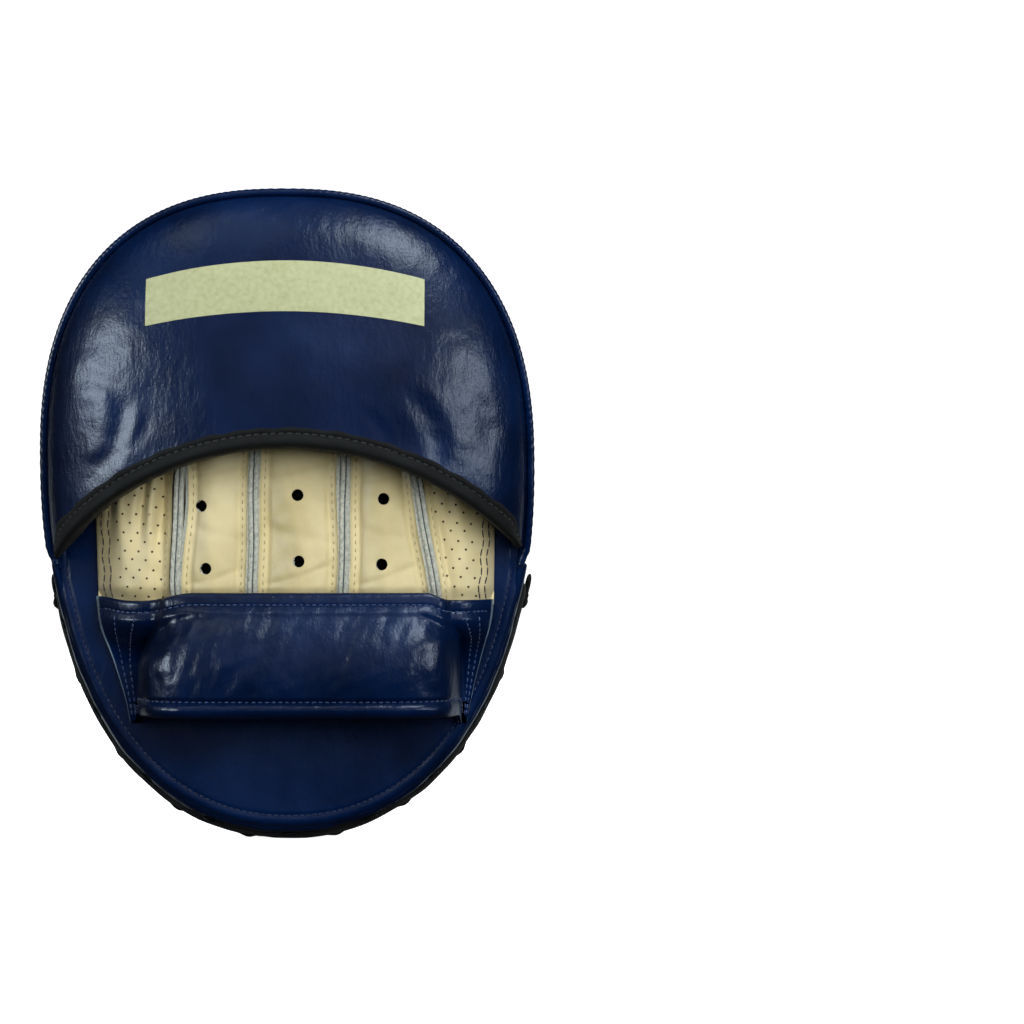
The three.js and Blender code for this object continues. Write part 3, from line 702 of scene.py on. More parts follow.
def make_facings():
    angles = np.linspace(LACED_START, LACED_END, 320)
    for name, node, low, high, seam_at_low in (
            ("front_facing_leather", "front_facing", 0.0, 0.36, True),
            ("back_facing_leather", "back_facing", 0.64, 1.0, False)):
        surface = facing_surface(low, high, seam_at_low)
        facing = shell(name, surface, angles, low + (high - low) * edge_spaced(16), LEATHER, [NAVY])
        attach(facing, "pad")
        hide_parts(node)
        hem = high - 0.055 if seam_at_low else low + 0.055
        sewn = np.linspace(LACED_START + 0.02, LACED_END - 0.02, 500)
        thread = stitches(name.replace("leather", "stitches"),
                          [surface_row(surface, sewn, np.full(500, hem))], NAVY_THREAD)
        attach(thread, "pad")


def tongue_relief(share):
    """How far the padded tongue swells out between the facings."""
    middle = np.clip(1 - ((share - 0.5) / 0.3) ** 2, 0, 1)
    return -2.4 + 5.5 * middle ** 0.5


def tongue_surface(angle, share, lift):
    """The tongue dips under the gusset's ends."""
    past_gusset = (np.pi - np.abs(angle - np.pi) - LACED_START) * 95
    relief = mix(-2.6, tongue_relief(share), smooth(past_gusset, 0, 4))
    return wall(angle, share, lift + relief + 0.2 * waves(angle * 85, share * 36, 14, 21))


def make_tongue():
    tongue = shell("tongue_padding", tongue_surface, np.linspace(LACED_START - 0.04, LACED_END + 0.04, 300),
                   np.linspace(0.2, 0.8, 22), 1.2, [LINING])
    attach(tongue, "pad")
    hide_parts("lacing_tongue")


def lace_leg(start, share_from, share_to, over):
    """One leg of flat lace, drawn tight from an eyelet to the next eyelet on the other facing."""
    t = np.linspace(0, 1, 26)
    step = (LACE_LAST - LACE_FIRST) / LACE_CROSSINGS
    angle = start + step * t
    share = mix(share_from, share_to, t)
    ends = smooth(t, 0, 0.1) * (1 - smooth(t, 0.9, 1))
    hump = bell(t, 0.5, 0.08)
    resting = np.maximum(tongue_relief(share), 0.9) - 0.8
    lift = mix(-1.2, resting, ends) + (1.0 if over else 0.0) * hump
    path = wall(angle, share, lift)
    out = unit(wall(angle, share, lift + 1) - path)
    return tube_sections(path, out, 2.5, 0.65, 12)


def make_laces():
    step = (LACE_LAST - LACE_FIRST) / LACE_CROSSINGS
    for node, phase in (("lace_a", 0), ("lace_b", 1)):
        legs = []
        for leg in range(LACE_CROSSINGS):
            to_back = (leg + phase) % 2 == 0
            shares = (FRONT_EYELETS, BACK_EYELETS) if to_back else (BACK_EYELETS, FRONT_EYELETS)
            legs.append(lace_leg(LACE_FIRST + leg * step, *shares, over=to_back))
        lace = bundle(node + "_woven", legs, [LACE])
        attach(lace, "pad")
        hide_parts(node)


def make_eyelets():
    rings = []
    step = (LACE_LAST - LACE_FIRST) / LACE_CROSSINGS
    turn = around(20)
    for index in range(LACE_CROSSINGS + 1):
        for share, surface in ((FRONT_EYELETS, facing_surface(0, 0.36, True)),
                               (BACK_EYELETS, facing_surface(0.64, 1, False))):
            angle = np.array(LACE_FIRST + index * step)
            here = surface(angle, np.array(share), 0.0)
            out = unit(surface(angle, np.array(share), 1.0) - here)
            side = unit(np.cross(out, np.array([0, 1.0, 0])))
            up = np.cross(side, out)
            radial = np.cos(turn)[:, None] * side + np.sin(turn)[:, None] * up
            round_it = (np.cos(turn[::2])[None, :, None] * radial[:, None] * 0.75
                        + np.sin(turn[::2])[None, :, None] * out * 0.5)
            rings.append(here + out * 0.2 + 2.5 * radial[:, None] + round_it)
    eyelets = bundle("eyelets", rings, [EYELET], closed=True)
    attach(eyelets, "pad")


def lace_to_knot(side, share_from):
    """From the first eyelet of a facing up to the knot."""
    t = np.linspace(0, 1, 20)
    angle = side * mix(LACE_FIRST, math.radians(107.4), t)
    share = mix(share_from, 0.5, t)
    lift = mix(-1.2, 1.4, smooth(t, 0, 0.2))
    path = wall(angle, share, lift)
    return tube_sections(path, unit(wall(angle, share, lift + 1) - path), 2.3, 0.65, 12)


def make_knots():
    """The lace's tied ends: a small tight knot on each side, with a flat loop drawn up above it."""
    s = around(80)
    knotted = (0.45 * (np.sin(s) + 2 * np.sin(2 * s)), 0.45 * (np.cos(s) - 2 * np.cos(2 * s)),
               -0.7 * np.sin(3 * s))
    looped = (np.cos(s), np.sin(s), 0 * s)
    for side, node in ((-1, "lace_knot_left"), (1, "lace_knot_right")):
        rings = []
        for (along, across, off), degrees, length, width, lift in ((knotted, 106.8, 2.6, 2.8, 3.4),
                                                                   (looped, 104.2, 4.6, 3.2, 3.6)):
            angle = side * np.radians(degrees + along * length / 3.4)
            share = 0.5 + across * width / 46
            path = wall(angle, share, lift + off)
            rings.append(closed_tube(path, unit(wall(angle, share, lift + off + 1) - path), 1.4, 0.8))
        knot = bundle(node + "_tied", rings, [LACE], closed=True)
        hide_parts(node)
        leads = [lace_to_knot(side, share) for share in (FRONT_EYELETS, BACK_EYELETS)]
        ends = bundle(node + "_ends", leads, [LACE])
        for piece in (knot, ends):
            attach(piece, "pad")


# ---------- The striking face ----------


def face_surface(angle, ring, lift):
    """ring is 0 at the seam and grows inwards, in millimetres, to the shoulder and then the flat."""
    inset = np.minimum(ring, 16.0)
    x, z = outline_point(FRONT, angle, inset)
    share = np.clip((ring - 16.0) / 60.0, 0, 1)
    x, z = x * (1 - share), mix(z, FRONT["centre"], share)
    rise = FACE_Y - FRONT_SEAM_Y
    shoulder = np.clip(1 - inset / 15.0, 0, 1)
    y = FRONT_SEAM_Y + rise * (1 - shoulder ** 2.4) ** (1 / 2.4)
    arc = angle * 88
    near = np.exp(-(ring / 7.0))
    relief = 0.22 * np.sin(arc / 1.35) * np.exp(-(ring / 3.0)) + 0.25 * waves(x, z, 34, 5) * near
    relief = relief + 0.12 * waves(x, z, 48, 6) - 0.45 * bell(ring, 3.2, 0.8)
    out_share = np.clip(shoulder * 1.4, 0, 1)
    flat_x, flat_z = outline_point(FRONT, angle, inset - 1.0)
    edge_x, edge_z = outline_point(FRONT, angle, inset)[:2]
    away_x, away_z = flat_x - edge_x, flat_z - edge_z
    offset = lift + relief
    return np.stack([x + away_x * offset * out_share, y + offset * np.sqrt(1 - 0.85 * out_share ** 2),
                     z + away_z * offset * out_share], -1)


def make_face():
    rings = np.concatenate([16 * np.linspace(0, 1, 34) ** 1.3, [22, 34, 50, 76]])
    face = disc("face_leather", face_surface, around(480), rings, 1.4, [NAVY_FACE])
    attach(face, "pad")
    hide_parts("face_cover")
    sewn = np.linspace(0, 2 * np.pi, 1400)
    row = surface_row(face_surface, sewn, np.full(1400, 3.2))
    thread = stitches("face_seam_stitches", [row], NAVY_THREAD)
    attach(thread, "pad")


PATCH_OUTER_ROW, PATCH_INNER_ROW = 2.2, 15.5


def patch_surface(angle, ring, lift):
    """ring is the distance in from the patch's cut edge: two stitched grooves with a puffy band between."""
    inset = np.minimum(ring, 22.0)
    x, z = outline_point(PATCH, angle, inset)
    share = np.clip((ring - 22.0) / 40.0, 0, 1)
    x, z = x * (1 - share), mix(z, PATCH["centre"], share)
    band = np.clip((ring - PATCH_OUTER_ROW) / (PATCH_INNER_ROW - PATCH_OUTER_ROW), 0, 1)
    puff = np.sin(np.pi * band) ** 0.75
    arc = np.degrees(angle)
    folds = 0.0
    for place, size in ((-62, 1.0), (-70, 0.8), (-79, 1.0), (-88, 0.6), (-50, 0.6), (-112, 0.5), (48, 0.8),
                        (56, 1.0),
                        (63, 0.7), (72, 0.5), (118, 0.4), (-132, 0.5), (33, 0.4), (-33, 0.5)):
        centre = place + 3 * (band - 0.5)
        turned = (arc - centre + 180) % 360 - 180
        folds = folds - 0.42 * size * bell(turned, 0, 1.1)
    rise = 0.6 * smooth(ring, 0, 0.5) + 1.25 * puff * (1 + 0.22 * waves(x, z, 13, 31)) + folds * puff
    rise = rise - 0.45 * bell(ring, PATCH_OUTER_ROW, 0.7)
    rise = rise - 0.35 * bell(ring, PATCH_INNER_ROW, 0.9)
    rise = rise + 0.5 * smooth(ring, PATCH_INNER_ROW, PATCH_INNER_ROW + 5)
    ragged = 0.35 * np.sin(arc * 2.1) * np.sin(arc * 0.77) * np.exp(-ring / 1.2)
    return np.stack([x * (1 + ragged / 60), patch_low[1] + 0.6 + rise + lift, z], -1)


def make_patch():
    rings = np.concatenate([
        np.linspace(0, 3.5, 15), np.linspace(3.9, 14.2, 22), np.linspace(14.6, 21.5, 15), [30, 44, 62]])
    patch = disc("target_leather", patch_surface, around(460), rings, 0.9,
                 [NAVY_FACE, NAVY_RAW], edge_slot=1)
    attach(patch, "pad")
    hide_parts("target_patch")
    rows = []
    for ring in (PATCH_OUTER_ROW, PATCH_INNER_ROW):
        sewn = np.linspace(0, 2 * np.pi, 1000)
        rows.append(surface_row(patch_surface, sewn, np.full(1000, ring)))
    thread = stitches("target_stitches", rows, NAVY_THREAD)
    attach(thread, "pad")


def make_target_mark():
    """A plain ring and dot, printed on the flat middle of the target."""
    y = float(patch_surface(np.array(0.3), np.array(40.0), 0.0)[1])
    for name, outer, inner in (("printed_ring", 33.0, 25.0), ("printed_dot", 11.0, 0.0)):
        def surface(angle, radius, lift):
            share = radius / outer if inner == 0 else radius
            reach = outer * share if inner == 0 else mix(inner, outer, share)
            return np.stack([reach * np.sin(angle), np.full(np.shape(angle), y + 0.07) + lift,
                             PATCH["centre"] - 8 + reach * np.cos(angle)], -1)
        angles = around(96)
        if inner == 0:
            mark = disc(name, surface, angles, np.array([1.0, 0.5, 0.0]) * outer, 0.12, [INK])
        else:
            mark = shell(name, surface, angles, np.array([1.0, 0.5, 0.0]), 0.12, [INK], wrap=True)
        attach(mark, "pad")


# ---------- The back cover ----------


def cover_surface(angle, ring, lift):
    """ring is the distance in from the rear seam; lift is towards the hand."""
    share = np.clip((FRONT_SEAM_Y - BACK_Y) / wall_depth_span(angle), 0, 1)
    edge = wall(angle, share, 0.0)
    degrees = np.abs(np.degrees(np.arctan2(np.sin(angle), np.cos(angle))))
    hidden = 1.9 * (1 - smooth(degrees, HOOD_END - 4, HOOD_END + 6))
    inset = np.minimum(ring, 20.0) + hidden
    radial_x, radial_z = edge[..., 0], edge[..., 2] - 60
    length = np.hypot(radial_x, radial_z)
    far = np.clip((ring - 20.0) / 60.0, 0, 1)
    reach = (length - inset) * (1 - far)
    x, z = radial_x / length * reach, 60 + radial_z / length * reach
    rolled = 2.6 * np.clip(1 - ring / 3.0, 0, 1) ** 2
    relief = 0.14 * waves(x, z, 40, 14) - 0.4 * bell(ring, 5.0, 0.8)
    relief = relief + 0.18 * np.sin(angle * 85 / 1.4) * np.exp(-(ring / 3.5))
    return np.stack([x, BACK_Y + rolled - relief - lift, z], -1)


def make_back_cover():
    rings = np.concatenate([np.linspace(0, 8, 22), [10, 13, 17, 22, 34, 50, 80]])
    cover = disc("back_cover_leather", cover_surface, around(420), rings, 1.2, [NAVY])
    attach(cover, "pad")
    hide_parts("back_cover")
    sewn = np.linspace(LACED_START + 0.03, LACED_END - 0.03, 900)
    row = surface_row(cover_surface, sewn, np.full(900, 5.0))
    thread = stitches("back_cover_stitches", [row], DEEP_THREAD)
    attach(thread, "pad")


# ---------- The hood ----------


def ray_reach(ray, inset):
    """Distance from the lip's centre to the rear outline."""
    near, far = np.full(np.shape(ray), 60.0), np.full(np.shape(ray), 260.0)
    for _ in range(26):
        middle = (near + far) / 2
        x, z = LIP_CENTRE[0] + middle * np.sin(ray), LIP_CENTRE[1] + middle * np.cos(ray)
        inside = outline_share(REAR, x, z, inset) < 1
        near, far = np.where(inside, middle, near), np.where(inside, far, middle)
    return near


def end_ray(side, inset, span):
    """The ray where the hood has narrowed to span."""
    rays = side * np.linspace(0.3, 1.2, 900)
    wide = ray_reach(rays, inset) - LIP_RADIUS > span
    return float(rays[wide][-1])


HOOD_CREASES = [((-62, 100), (-76, 62), 4.2, 0.75), ((-88, 98), (-66, 102), 3.6, 0.3),
                ((-52, 92), (-60, 74), 2.6, 0.3), ((47, 100), (63, 66), 4.2, 0.7),
                ((74, 100), (80, 72), 3.6, 0.35), ((32, 90), (42, 74), 2.6, 0.25)]


def hood_relief(x, z):
    """Broad folds on both flanks, swells, and puckers along the perimeter seam."""
    relief = 0.0
    for start, end, width, depth in HOOD_CREASES:
        relief = relief + crease(x, z, start, end, width, depth)
    flank = smooth(np.abs(x), 30, 62) * (1 - smooth(z, 118, 150))
    relief = relief + flank * (0.2 * waves(x, z, 24, 41, 1.4) + 0.05 * waves(x, z, 6.5, 42, 1.3))
    relief = relief + 0.4 * waves(x, z, 52, 43) + 0.05 * waves(x, z, 16, 44)
    share = outline_share(REAR, x, z, HOOD_EDGE_INSET)
    near = np.clip((1 - share) * 90, 0, 100)
    arc = outline_angle(REAR, x, z) * 95
    return relief * smooth(near, 0, 14) + 0.22 * np.sin(arc / 1.45) * np.exp(-near / 4) * smooth(near, 0, 1.5)


def hood_height(x, z, depth):
    """Height over the back cover of the hood's layer at depth below its skin."""
    end = math.radians(HOOD_END - 0.01)
    seam = pocket_height(np.clip(outline_angle(REAR, x, z), -end, end))
    share = np.minimum(outline_share(REAR, x, z, HOOD_EDGE_INSET + depth), 1)
    return seam + (HOOD_HEIGHT - depth - seam) * (1 - share ** 2.75) ** (1 / 1.85)


def hood_at(x, z, lift, relief=1.0):
    height = hood_height(x, z, -lift) + relief * hood_relief(x, z)
    return np.stack([x, BACK_Y - height, z], -1)


def hood_layer(start_depth, relief, end_span, ends_depth):
    ends = [end_ray(side, HOOD_EDGE_INSET + ends_depth, end_span) for side in (-1, 1)]

    def surface(u, v, lift):
        depth = start_depth - lift
        ray = mix(ends[0], ends[1], u)
        reach = ray_reach(ray, HOOD_EDGE_INSET + depth)
        radius = mix(LIP_RADIUS, np.maximum(reach, LIP_RADIUS + 0.3), 1 - (1 - v) ** 1.6)
        x, z = LIP_CENTRE[0] + radius * np.sin(ray), LIP_CENTRE[1] + radius * np.cos(ray)
        height = hood_height(x, z, depth) + relief * hood_relief(x, z)
        return np.stack([x, BACK_Y - height, z], -1)
    return surface


def make_hood():
    across, along = edge_spaced(260) * 0.6 + np.linspace(0, 1, 260) * 0.4, np.linspace(0, 1, 110)
    for name, node, slot, depth, thickness, material, span, ends_depth in (
            ("hood_leather", "hood_outer", "body_leather", 0.0, LEATHER, NAVY, 1.0, 0.0),
            ("hood_padding", "hood_foam", "foam", 2.2, 7.6, FOAM, 4.0, 9.8),
            ("hood_inside", "hood_lining", "lining", 11.0, 1.2, LINING, 4.0, 12.2)):
        fine = depth == 0
        surface = hood_layer(depth, 1.0, span, ends_depth)
        step = 1 if fine else 4
        layer = shell(name, surface, across[::step], along[::step], thickness, [material])
        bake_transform(layer)
        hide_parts(node)


BINDING_WIDTH = 6.6
BINDING_ROW = 4.3


def binding_point(ray, out, lift, inner):
    """A point on the tape: out is past the lip's edge, lift off the outer skin or the inner lining."""
    depth = HOOD_DEPTH if inner else 0.0
    span = ray_reach(ray, HOOD_EDGE_INSET + depth) - LIP_RADIUS
    narrow = np.clip(span * 0.5 / BINDING_WIDTH, 0.03, 1)
    out = np.where(out > 0, out * narrow, out)
    radius = LIP_RADIUS + np.maximum(out, 0)
    x, z = LIP_CENTRE[0] + radius * np.sin(ray), LIP_CENTRE[1] + radius * np.cos(ray)
    height = hood_height(x, z, depth) + hood_relief(x, z) + (-lift if inner else lift)
    radius = LIP_RADIUS + out
    x, z = LIP_CENTRE[0] + radius * np.sin(ray), LIP_CENTRE[1] + radius * np.cos(ray)
    return np.stack([x, BACK_Y - height, z], -1)


def binding_rays(count):
    left, right = (end_ray(side, HOOD_EDGE_INSET, 1.0) for side in (-1, 1))
    return np.linspace(left, right, count)


def make_binding():
    """Tape folded round the lip: a flat flange with a stitched groove, and a rounded roll at the edge."""
    outside = [(6.6, 0.15), (6.6, 0.9), (6.3, 1.2), (5.5, 1.25), (4.8, 1.1), (4.3, 0.75), (3.8, 1.1),
               (3.1, 1.6), (2.2, 1.95), (1.1, 2.05), (0.2, 1.75), (-0.7, 1.0), (-1.3, -0.3), (-1.6, -2.0)]
    inside = [(-1.6, -2.0), (-1.2, -0.2), (-0.4, 1.0), (0.8, 1.4), (3.6, 1.2), (4.8, 0.8), (4.8, 0.15),
              (0.6, 0.1), (0.4, -2.5)]
    underside = [(0.4, -2.5), (0.6, 0.1), (3.4, 0.1)]
    section = [(*point, inner) for points, inner in ((outside, False), (inside, True), (underside, False))
               for point in points]
    rays = binding_rays(300)
    wobble = 1 + 0.03 * np.sin(rays * 47) + 0.025 * np.sin(rays * 83 + 1)
    still = np.ones(300)
    rings = np.stack([binding_point(rays, out * (wobble if out > 0 else still), lift * wobble, inner)
                      for out, lift, inner in section], axis=1)
    binding = sweep("lip_tape", rings, [TAPE])
    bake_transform(binding)
    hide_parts("hood_binding")
    rays = binding_rays(900)[8:-8]
    path = binding_point(rays, np.full(len(rays), BINDING_ROW), np.full(len(rays), 0.8), False)
    out = unit(binding_point(rays, np.full(len(rays), BINDING_ROW), np.full(len(rays), 1.8), False) - path)
    thread = stitches("lip_tape_stitches", [(path, out)], BLACK_THREAD, 3.2, 2.4, 0.32)
    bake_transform(thread)


def make_piping():
    angle = np.linspace(-math.radians(HOOD_END + 1.5), math.radians(HOOD_END + 1.5), 500)
    sunk = 1.6 * (1 - smooth((angle[-1] - np.abs(angle)) * 95, 0, 5))
    x, z = outline_point(REAR, angle, 0.2 + sunk)
    path = np.stack([x, BACK_Y - pocket_height(angle), z], -1)
    out = unit(np.stack([x, -20 + 0 * x, z - 60], -1))
    rings = tube_sections(path, out, 1.5, 1.5, 12)
    swell = 1 + 0.07 * np.sin(np.arange(500) * 1.9)
    rings = path[:, None] + (rings - path[:, None]) * swell[:, None, None]
    piping = sweep("seam_piping", rings, [NAVY])
    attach(piping, "pad")
    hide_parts("hood_piping")


MARK_HALF, MARK_LOW, MARK_HIGH, MARK_DROP = 58.0, 127.5, 147.5, 7.0
PRINT_LIFT = 0.2


def make_hood_mark():
    """A plain arched band, printed across the top of the hood."""
    def surface(u, v, lift):
        x = mix(-MARK_HALF, MARK_HALF, u) + 1.5
        arch = -MARK_DROP * ((x - 1.5) / MARK_HALF) ** 2 * (v * 0.2 + 0.8) + 1.5
        return hood_at(x * 0.94, mix(MARK_LOW, MARK_HIGH, v) + arch, lift + PRINT_LIFT)
    mark = shell("printed_band", surface, np.linspace(0, 1, 220), np.linspace(0, 1, 44), 0.12, [INK])
    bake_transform(mark)


# ---------- The glove ----------


def finger_taper(z, tip):
    share = np.clip((z - GLOVE_BOTTOM) / (tip - GLOVE_BOTTOM), 0, 1)
    return np.sqrt(1 - share ** 4)


def seam_x(number, z):
    """Where a glove edge or welt crosses height z."""
    bottom, top = GLOVE_SEAMS[number]
    return mix(bottom, top, np.clip((z - GLOVE_BOTTOM) / (SEAM_TOP - GLOVE_BOTTOM), 0, SEAM_REACH))


def welt_sway(number, z):
    return 0.5 * np.sin(z / 21 + number * 2) + 0.2 * np.sin(z / 6.5 + number)


def panel_edges(index, z):
    """A panel's left and right edge. The index panel draws away from its welt, which leaves a gap."""
    clear = 2.45
    left = seam_x(index, z) + (0 if index == 0 else clear + welt_sway(index, z))
    right = seam_x(index + 1, z) - (0 if index == 4 else clear - welt_sway(index + 1, z))
    if index == 1:
        left = left + 1.7 * bell(z, 56, 17)
    if index == 2:
        right = right - 0.9 * bell(z, 66, 16)
    return left, right


# Valleys in the side panels: x where each starts near the lip, x where it ends lower down, and its depth.
SIDE_FOLDS = {0: [(-69.5, -71, 2.6), (-56.5, -59, 3.2), (-49, -51.5, 2.8)],
              4: [(63.5, 69, 1.0), (74.5, 75.5, 0.6)]}


def panel_relief(index, x, z, left, right):
    """Leather that pulls up at the welts, gathers under the lip and creases over the hand."""
    from_left, from_right = x - left, right - x
    curl = 0.0
    if index > 0:
        curl = curl + 3.4 * np.exp(-(from_left / 1.3)) - 0.7 * bell(from_left, 3.4, 1.1)
    if index < 4:
        curl = curl + 3.4 * np.exp(-(from_right / 1.3)) - 0.7 * bell(from_right, 3.4, 1.1)
    inside = smooth(from_left, 0, 4) * smooth(from_right, 0, 4)
    relief = 0.6 * waves(x, z, 21, 60 + index, 2.0) + 0.16 * waves(x, z, 8, 70 + index, 1.4)
    if index in (0, 4):
        for top_x, low_x, depth in SIDE_FOLDS[index]:
            centre = mix(low_x, top_x, np.clip((z - 20) / 45, 0, 1.4)) + 0.7 * np.sin(z / 9 + top_x)
            fade = smooth(z, 22, 58)
            across = (x - centre) / mix(3.4, 1.9, fade)
            relief = relief - depth * fade * np.exp(-across ** 2)
            relief = relief + 0.45 * depth * fade * np.exp(-(across - 1.9) ** 2)
        ridge = left + 4.5 if index == 4 else right - 5.5
        relief = relief - 1.1 * bell(x, ridge, 1.8) * (1 - smooth(z, 40, 62))
    else:
        for place, tilt, width, depth in ((25, 0.25, 1.6, 0.5), (43, -0.3, 2.6, 0.45), (66, 0.15, 2.2, 0.8)):
            level = place + tilt * (x - left - 12) + 1.2 * np.sin(x / 8.0 + index * 2.3)
            relief = relief - depth * bell(z, level, width)
    for vent_x, vent_z in VENTS.get(GLOVE_NAMES[index], []):
        relief = relief - 0.35 * np.exp(-(((x - vent_x) ** 2 + (z - vent_z) ** 2) / 12))
    tuck = -4.5 * (1 - smooth(z, GLOVE_BOTTOM - 5, GLOVE_BOTTOM + 3))
    return curl + relief * inside + tuck


def panel_surface(index):
    bottom = GLOVE_BOTTOM - 5.0

    def at(x, z, lift):
        left, right = panel_edges(index, z)
        across = np.clip((x - left) / (right - left), 0, 1)
        edge = WELT_HEIGHT
        if index == 0:
            edge = mix(FLANGE_HEIGHT, WELT_HEIGHT, across ** 0.7)
        if index == 4:
            edge = mix(FLANGE_HEIGHT, WELT_HEIGHT, (1 - across) ** 0.7)
        full = edge + PANEL_CROWN * np.sin(np.pi * across) + panel_relief(index, x, z, left, right)
        height = np.maximum(mix(FLANGE_HEIGHT, full, finger_taper(z, GLOVE_TIPS[index])), FLANGE_HEIGHT - 0.4)
        return np.stack([x, BACK_Y - height - lift, z], -1)

    def surface(u, v, lift):
        z = mix(bottom, GLOVE_TIPS[index] + np.minimum(lift, 0), 1 - (1 - v) ** 1.15)
        left, right = panel_edges(index, z)
        flat_x = mix(left, right, u)
        narrow = 1 - 0.45 * smooth(v, 0.55, 1)
        middle = (left + right) / 2
        point = at(flat_x, z, lift)
        return np.stack([middle + (flat_x - middle) * narrow, point[..., 1], z], -1)
    return at, surface


def punch_vents(panel, vents):
    """Opens round holes through a one-sided grid by dropping faces and drawing the rim on to a circle."""
    points = np.array([v.co for v in panel.data.vertices]) / MM
    quads = np.array([list(polygon.vertices) for polygon in panel.data.polygons])
    middles = points[quads].mean(axis=1)
    near = np.zeros(len(quads), bool)
    for x, z in vents:
        near |= np.hypot(middles[:, 0] - x, middles[:, 2] - z) < VENT_RADIUS
    rim = np.intersect1d(quads[near], quads[~near])
    for x, z in vents:
        offset = points[rim][:, [0, 2]] - (x, z)
        away = np.hypot(*offset.T)
        own = away < 2 * VENT_RADIUS
        points[np.ix_(rim[own], [0, 2])] = (x, z) + offset[own] / away[own, None] * VENT_RADIUS
    used, flat = np.unique(quads[~near], return_inverse=True)
    return points[used], flat.reshape(-1, 4).tolist()


def vented_panel(name, surface, vents):
    """A panel with two vent holes, given its thickness afterwards so that the holes' rims are cut leather."""
    u, v = np.meshgrid(np.linspace(0, 1, 76), np.linspace(0, 1, 280), indexing="ij")
    flat = make_object("draft", surface(u, v, 0.0).reshape(-1, 3), grid_faces(76, 280), [BEIGE], closed=False)
    points, faces = punch_vents(flat, vents)
    bpy.data.objects.remove(flat)
    draft = make_object(name + "_draft", points, faces, [BEIGE, RAW_EDGE], closed=False)
    solid = draft.modifiers.new("thickness", "SOLIDIFY")
    solid.thickness = LEATHER * MM
    solid.offset = -1 if draft.data.polygons[len(faces) // 2].normal.y < 0 else 1
    solid.material_offset_rim = 1
    graph = bpy.context.evaluated_depsgraph_get()
    mesh = bpy.data.meshes.new_from_object(draft.evaluated_get(graph))
    bpy.data.objects.remove(draft)
    mesh.shade_smooth()
    mesh.set_sharp_from_angle(angle=math.radians(45))
    panel = bpy.data.objects.new(name, mesh)
    bpy.context.scene.collection.objects.link(panel)
    return panel


def perforations(name, at, index, left_clear, right_clear):
    """Punched dots about a millimetre wide, in slanted staggered rows: flush discs whose dark brown is
    painted shade for the inside of each hole.
    """
    turn = around(8)
    dots = []
    across, down = 5.5, 3.65
    for row in range(18):
        for column in range(-2, 9):
            x = seam_x(index, GLOVE_BOTTOM) + (column + 0.5 * (row % 2)) * across - 0.25 * row
            z = GLOVE_BOTTOM - 0.5 + row * down - 0.06 * (column * across) + 0.3 * math.sin(x)
            left, right = panel_edges(index, z)
            if left + left_clear < x < right - right_clear:
                ring_x, ring_z = x + 0.5 * np.cos(turn), z + 0.5 * np.sin(turn)
                dots.append(np.stack([at(ring_x, ring_z, lift) for lift in (0.05, -0.5)]))
    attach(bundle(name, dots, [HOLE_SHADE]), "pad")


def make_panels():
    seams, hems = [], []
    z = np.linspace(GLOVE_BOTTOM - 3, 92, 300)
    for index, name in enumerate(GLOVE_NAMES):
        at, surface = panel_surface(index)
        if index in (0, 4):
            panel = shell(
                f"{name}_leather", surface, np.linspace(0, 1, 100), np.linspace(0, 1, 210), LEATHER, [BEIGE])
        else:
            panel = vented_panel(f"{name}_leather", surface, VENTS[name])
        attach(panel, "pad")
        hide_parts(f"{name}_panel")
        left, right = panel_edges(index, z)
        if index > 0:
            seams.append(surface_row(at, left + 1.9, z))
        if index < 4:
            seams.append(surface_row(at, right - 1.9, z))
        if index == 0:
            hems += [surface_row(at, left + inset + 0.35 * np.sin(z / 1.9) - 0.02 * (z - 40), z)
                     for inset in (2.9, 6.0)]
        if index == 4:
            hems += [surface_row(at, right - inset + 0.35 * np.sin(z / 1.9) + 0.045 * (z - 46), z)
                     for inset in (2.2, 4.6)]
        if index in (0, 4):
            outer = (8.2, 2.6) if index == 0 else (2.8, 7.0)
            perforations(f"{name}_perforations", at, index, *outer)
    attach(stitches("glove_seam_stitches", seams, TAN_THREAD, 3.2, 1.9, 0.22), "pad")
    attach(stitches("glove_hem_stitches", hems, BROWN_THREAD, 3.7, 3.7, 0.32), "pad")


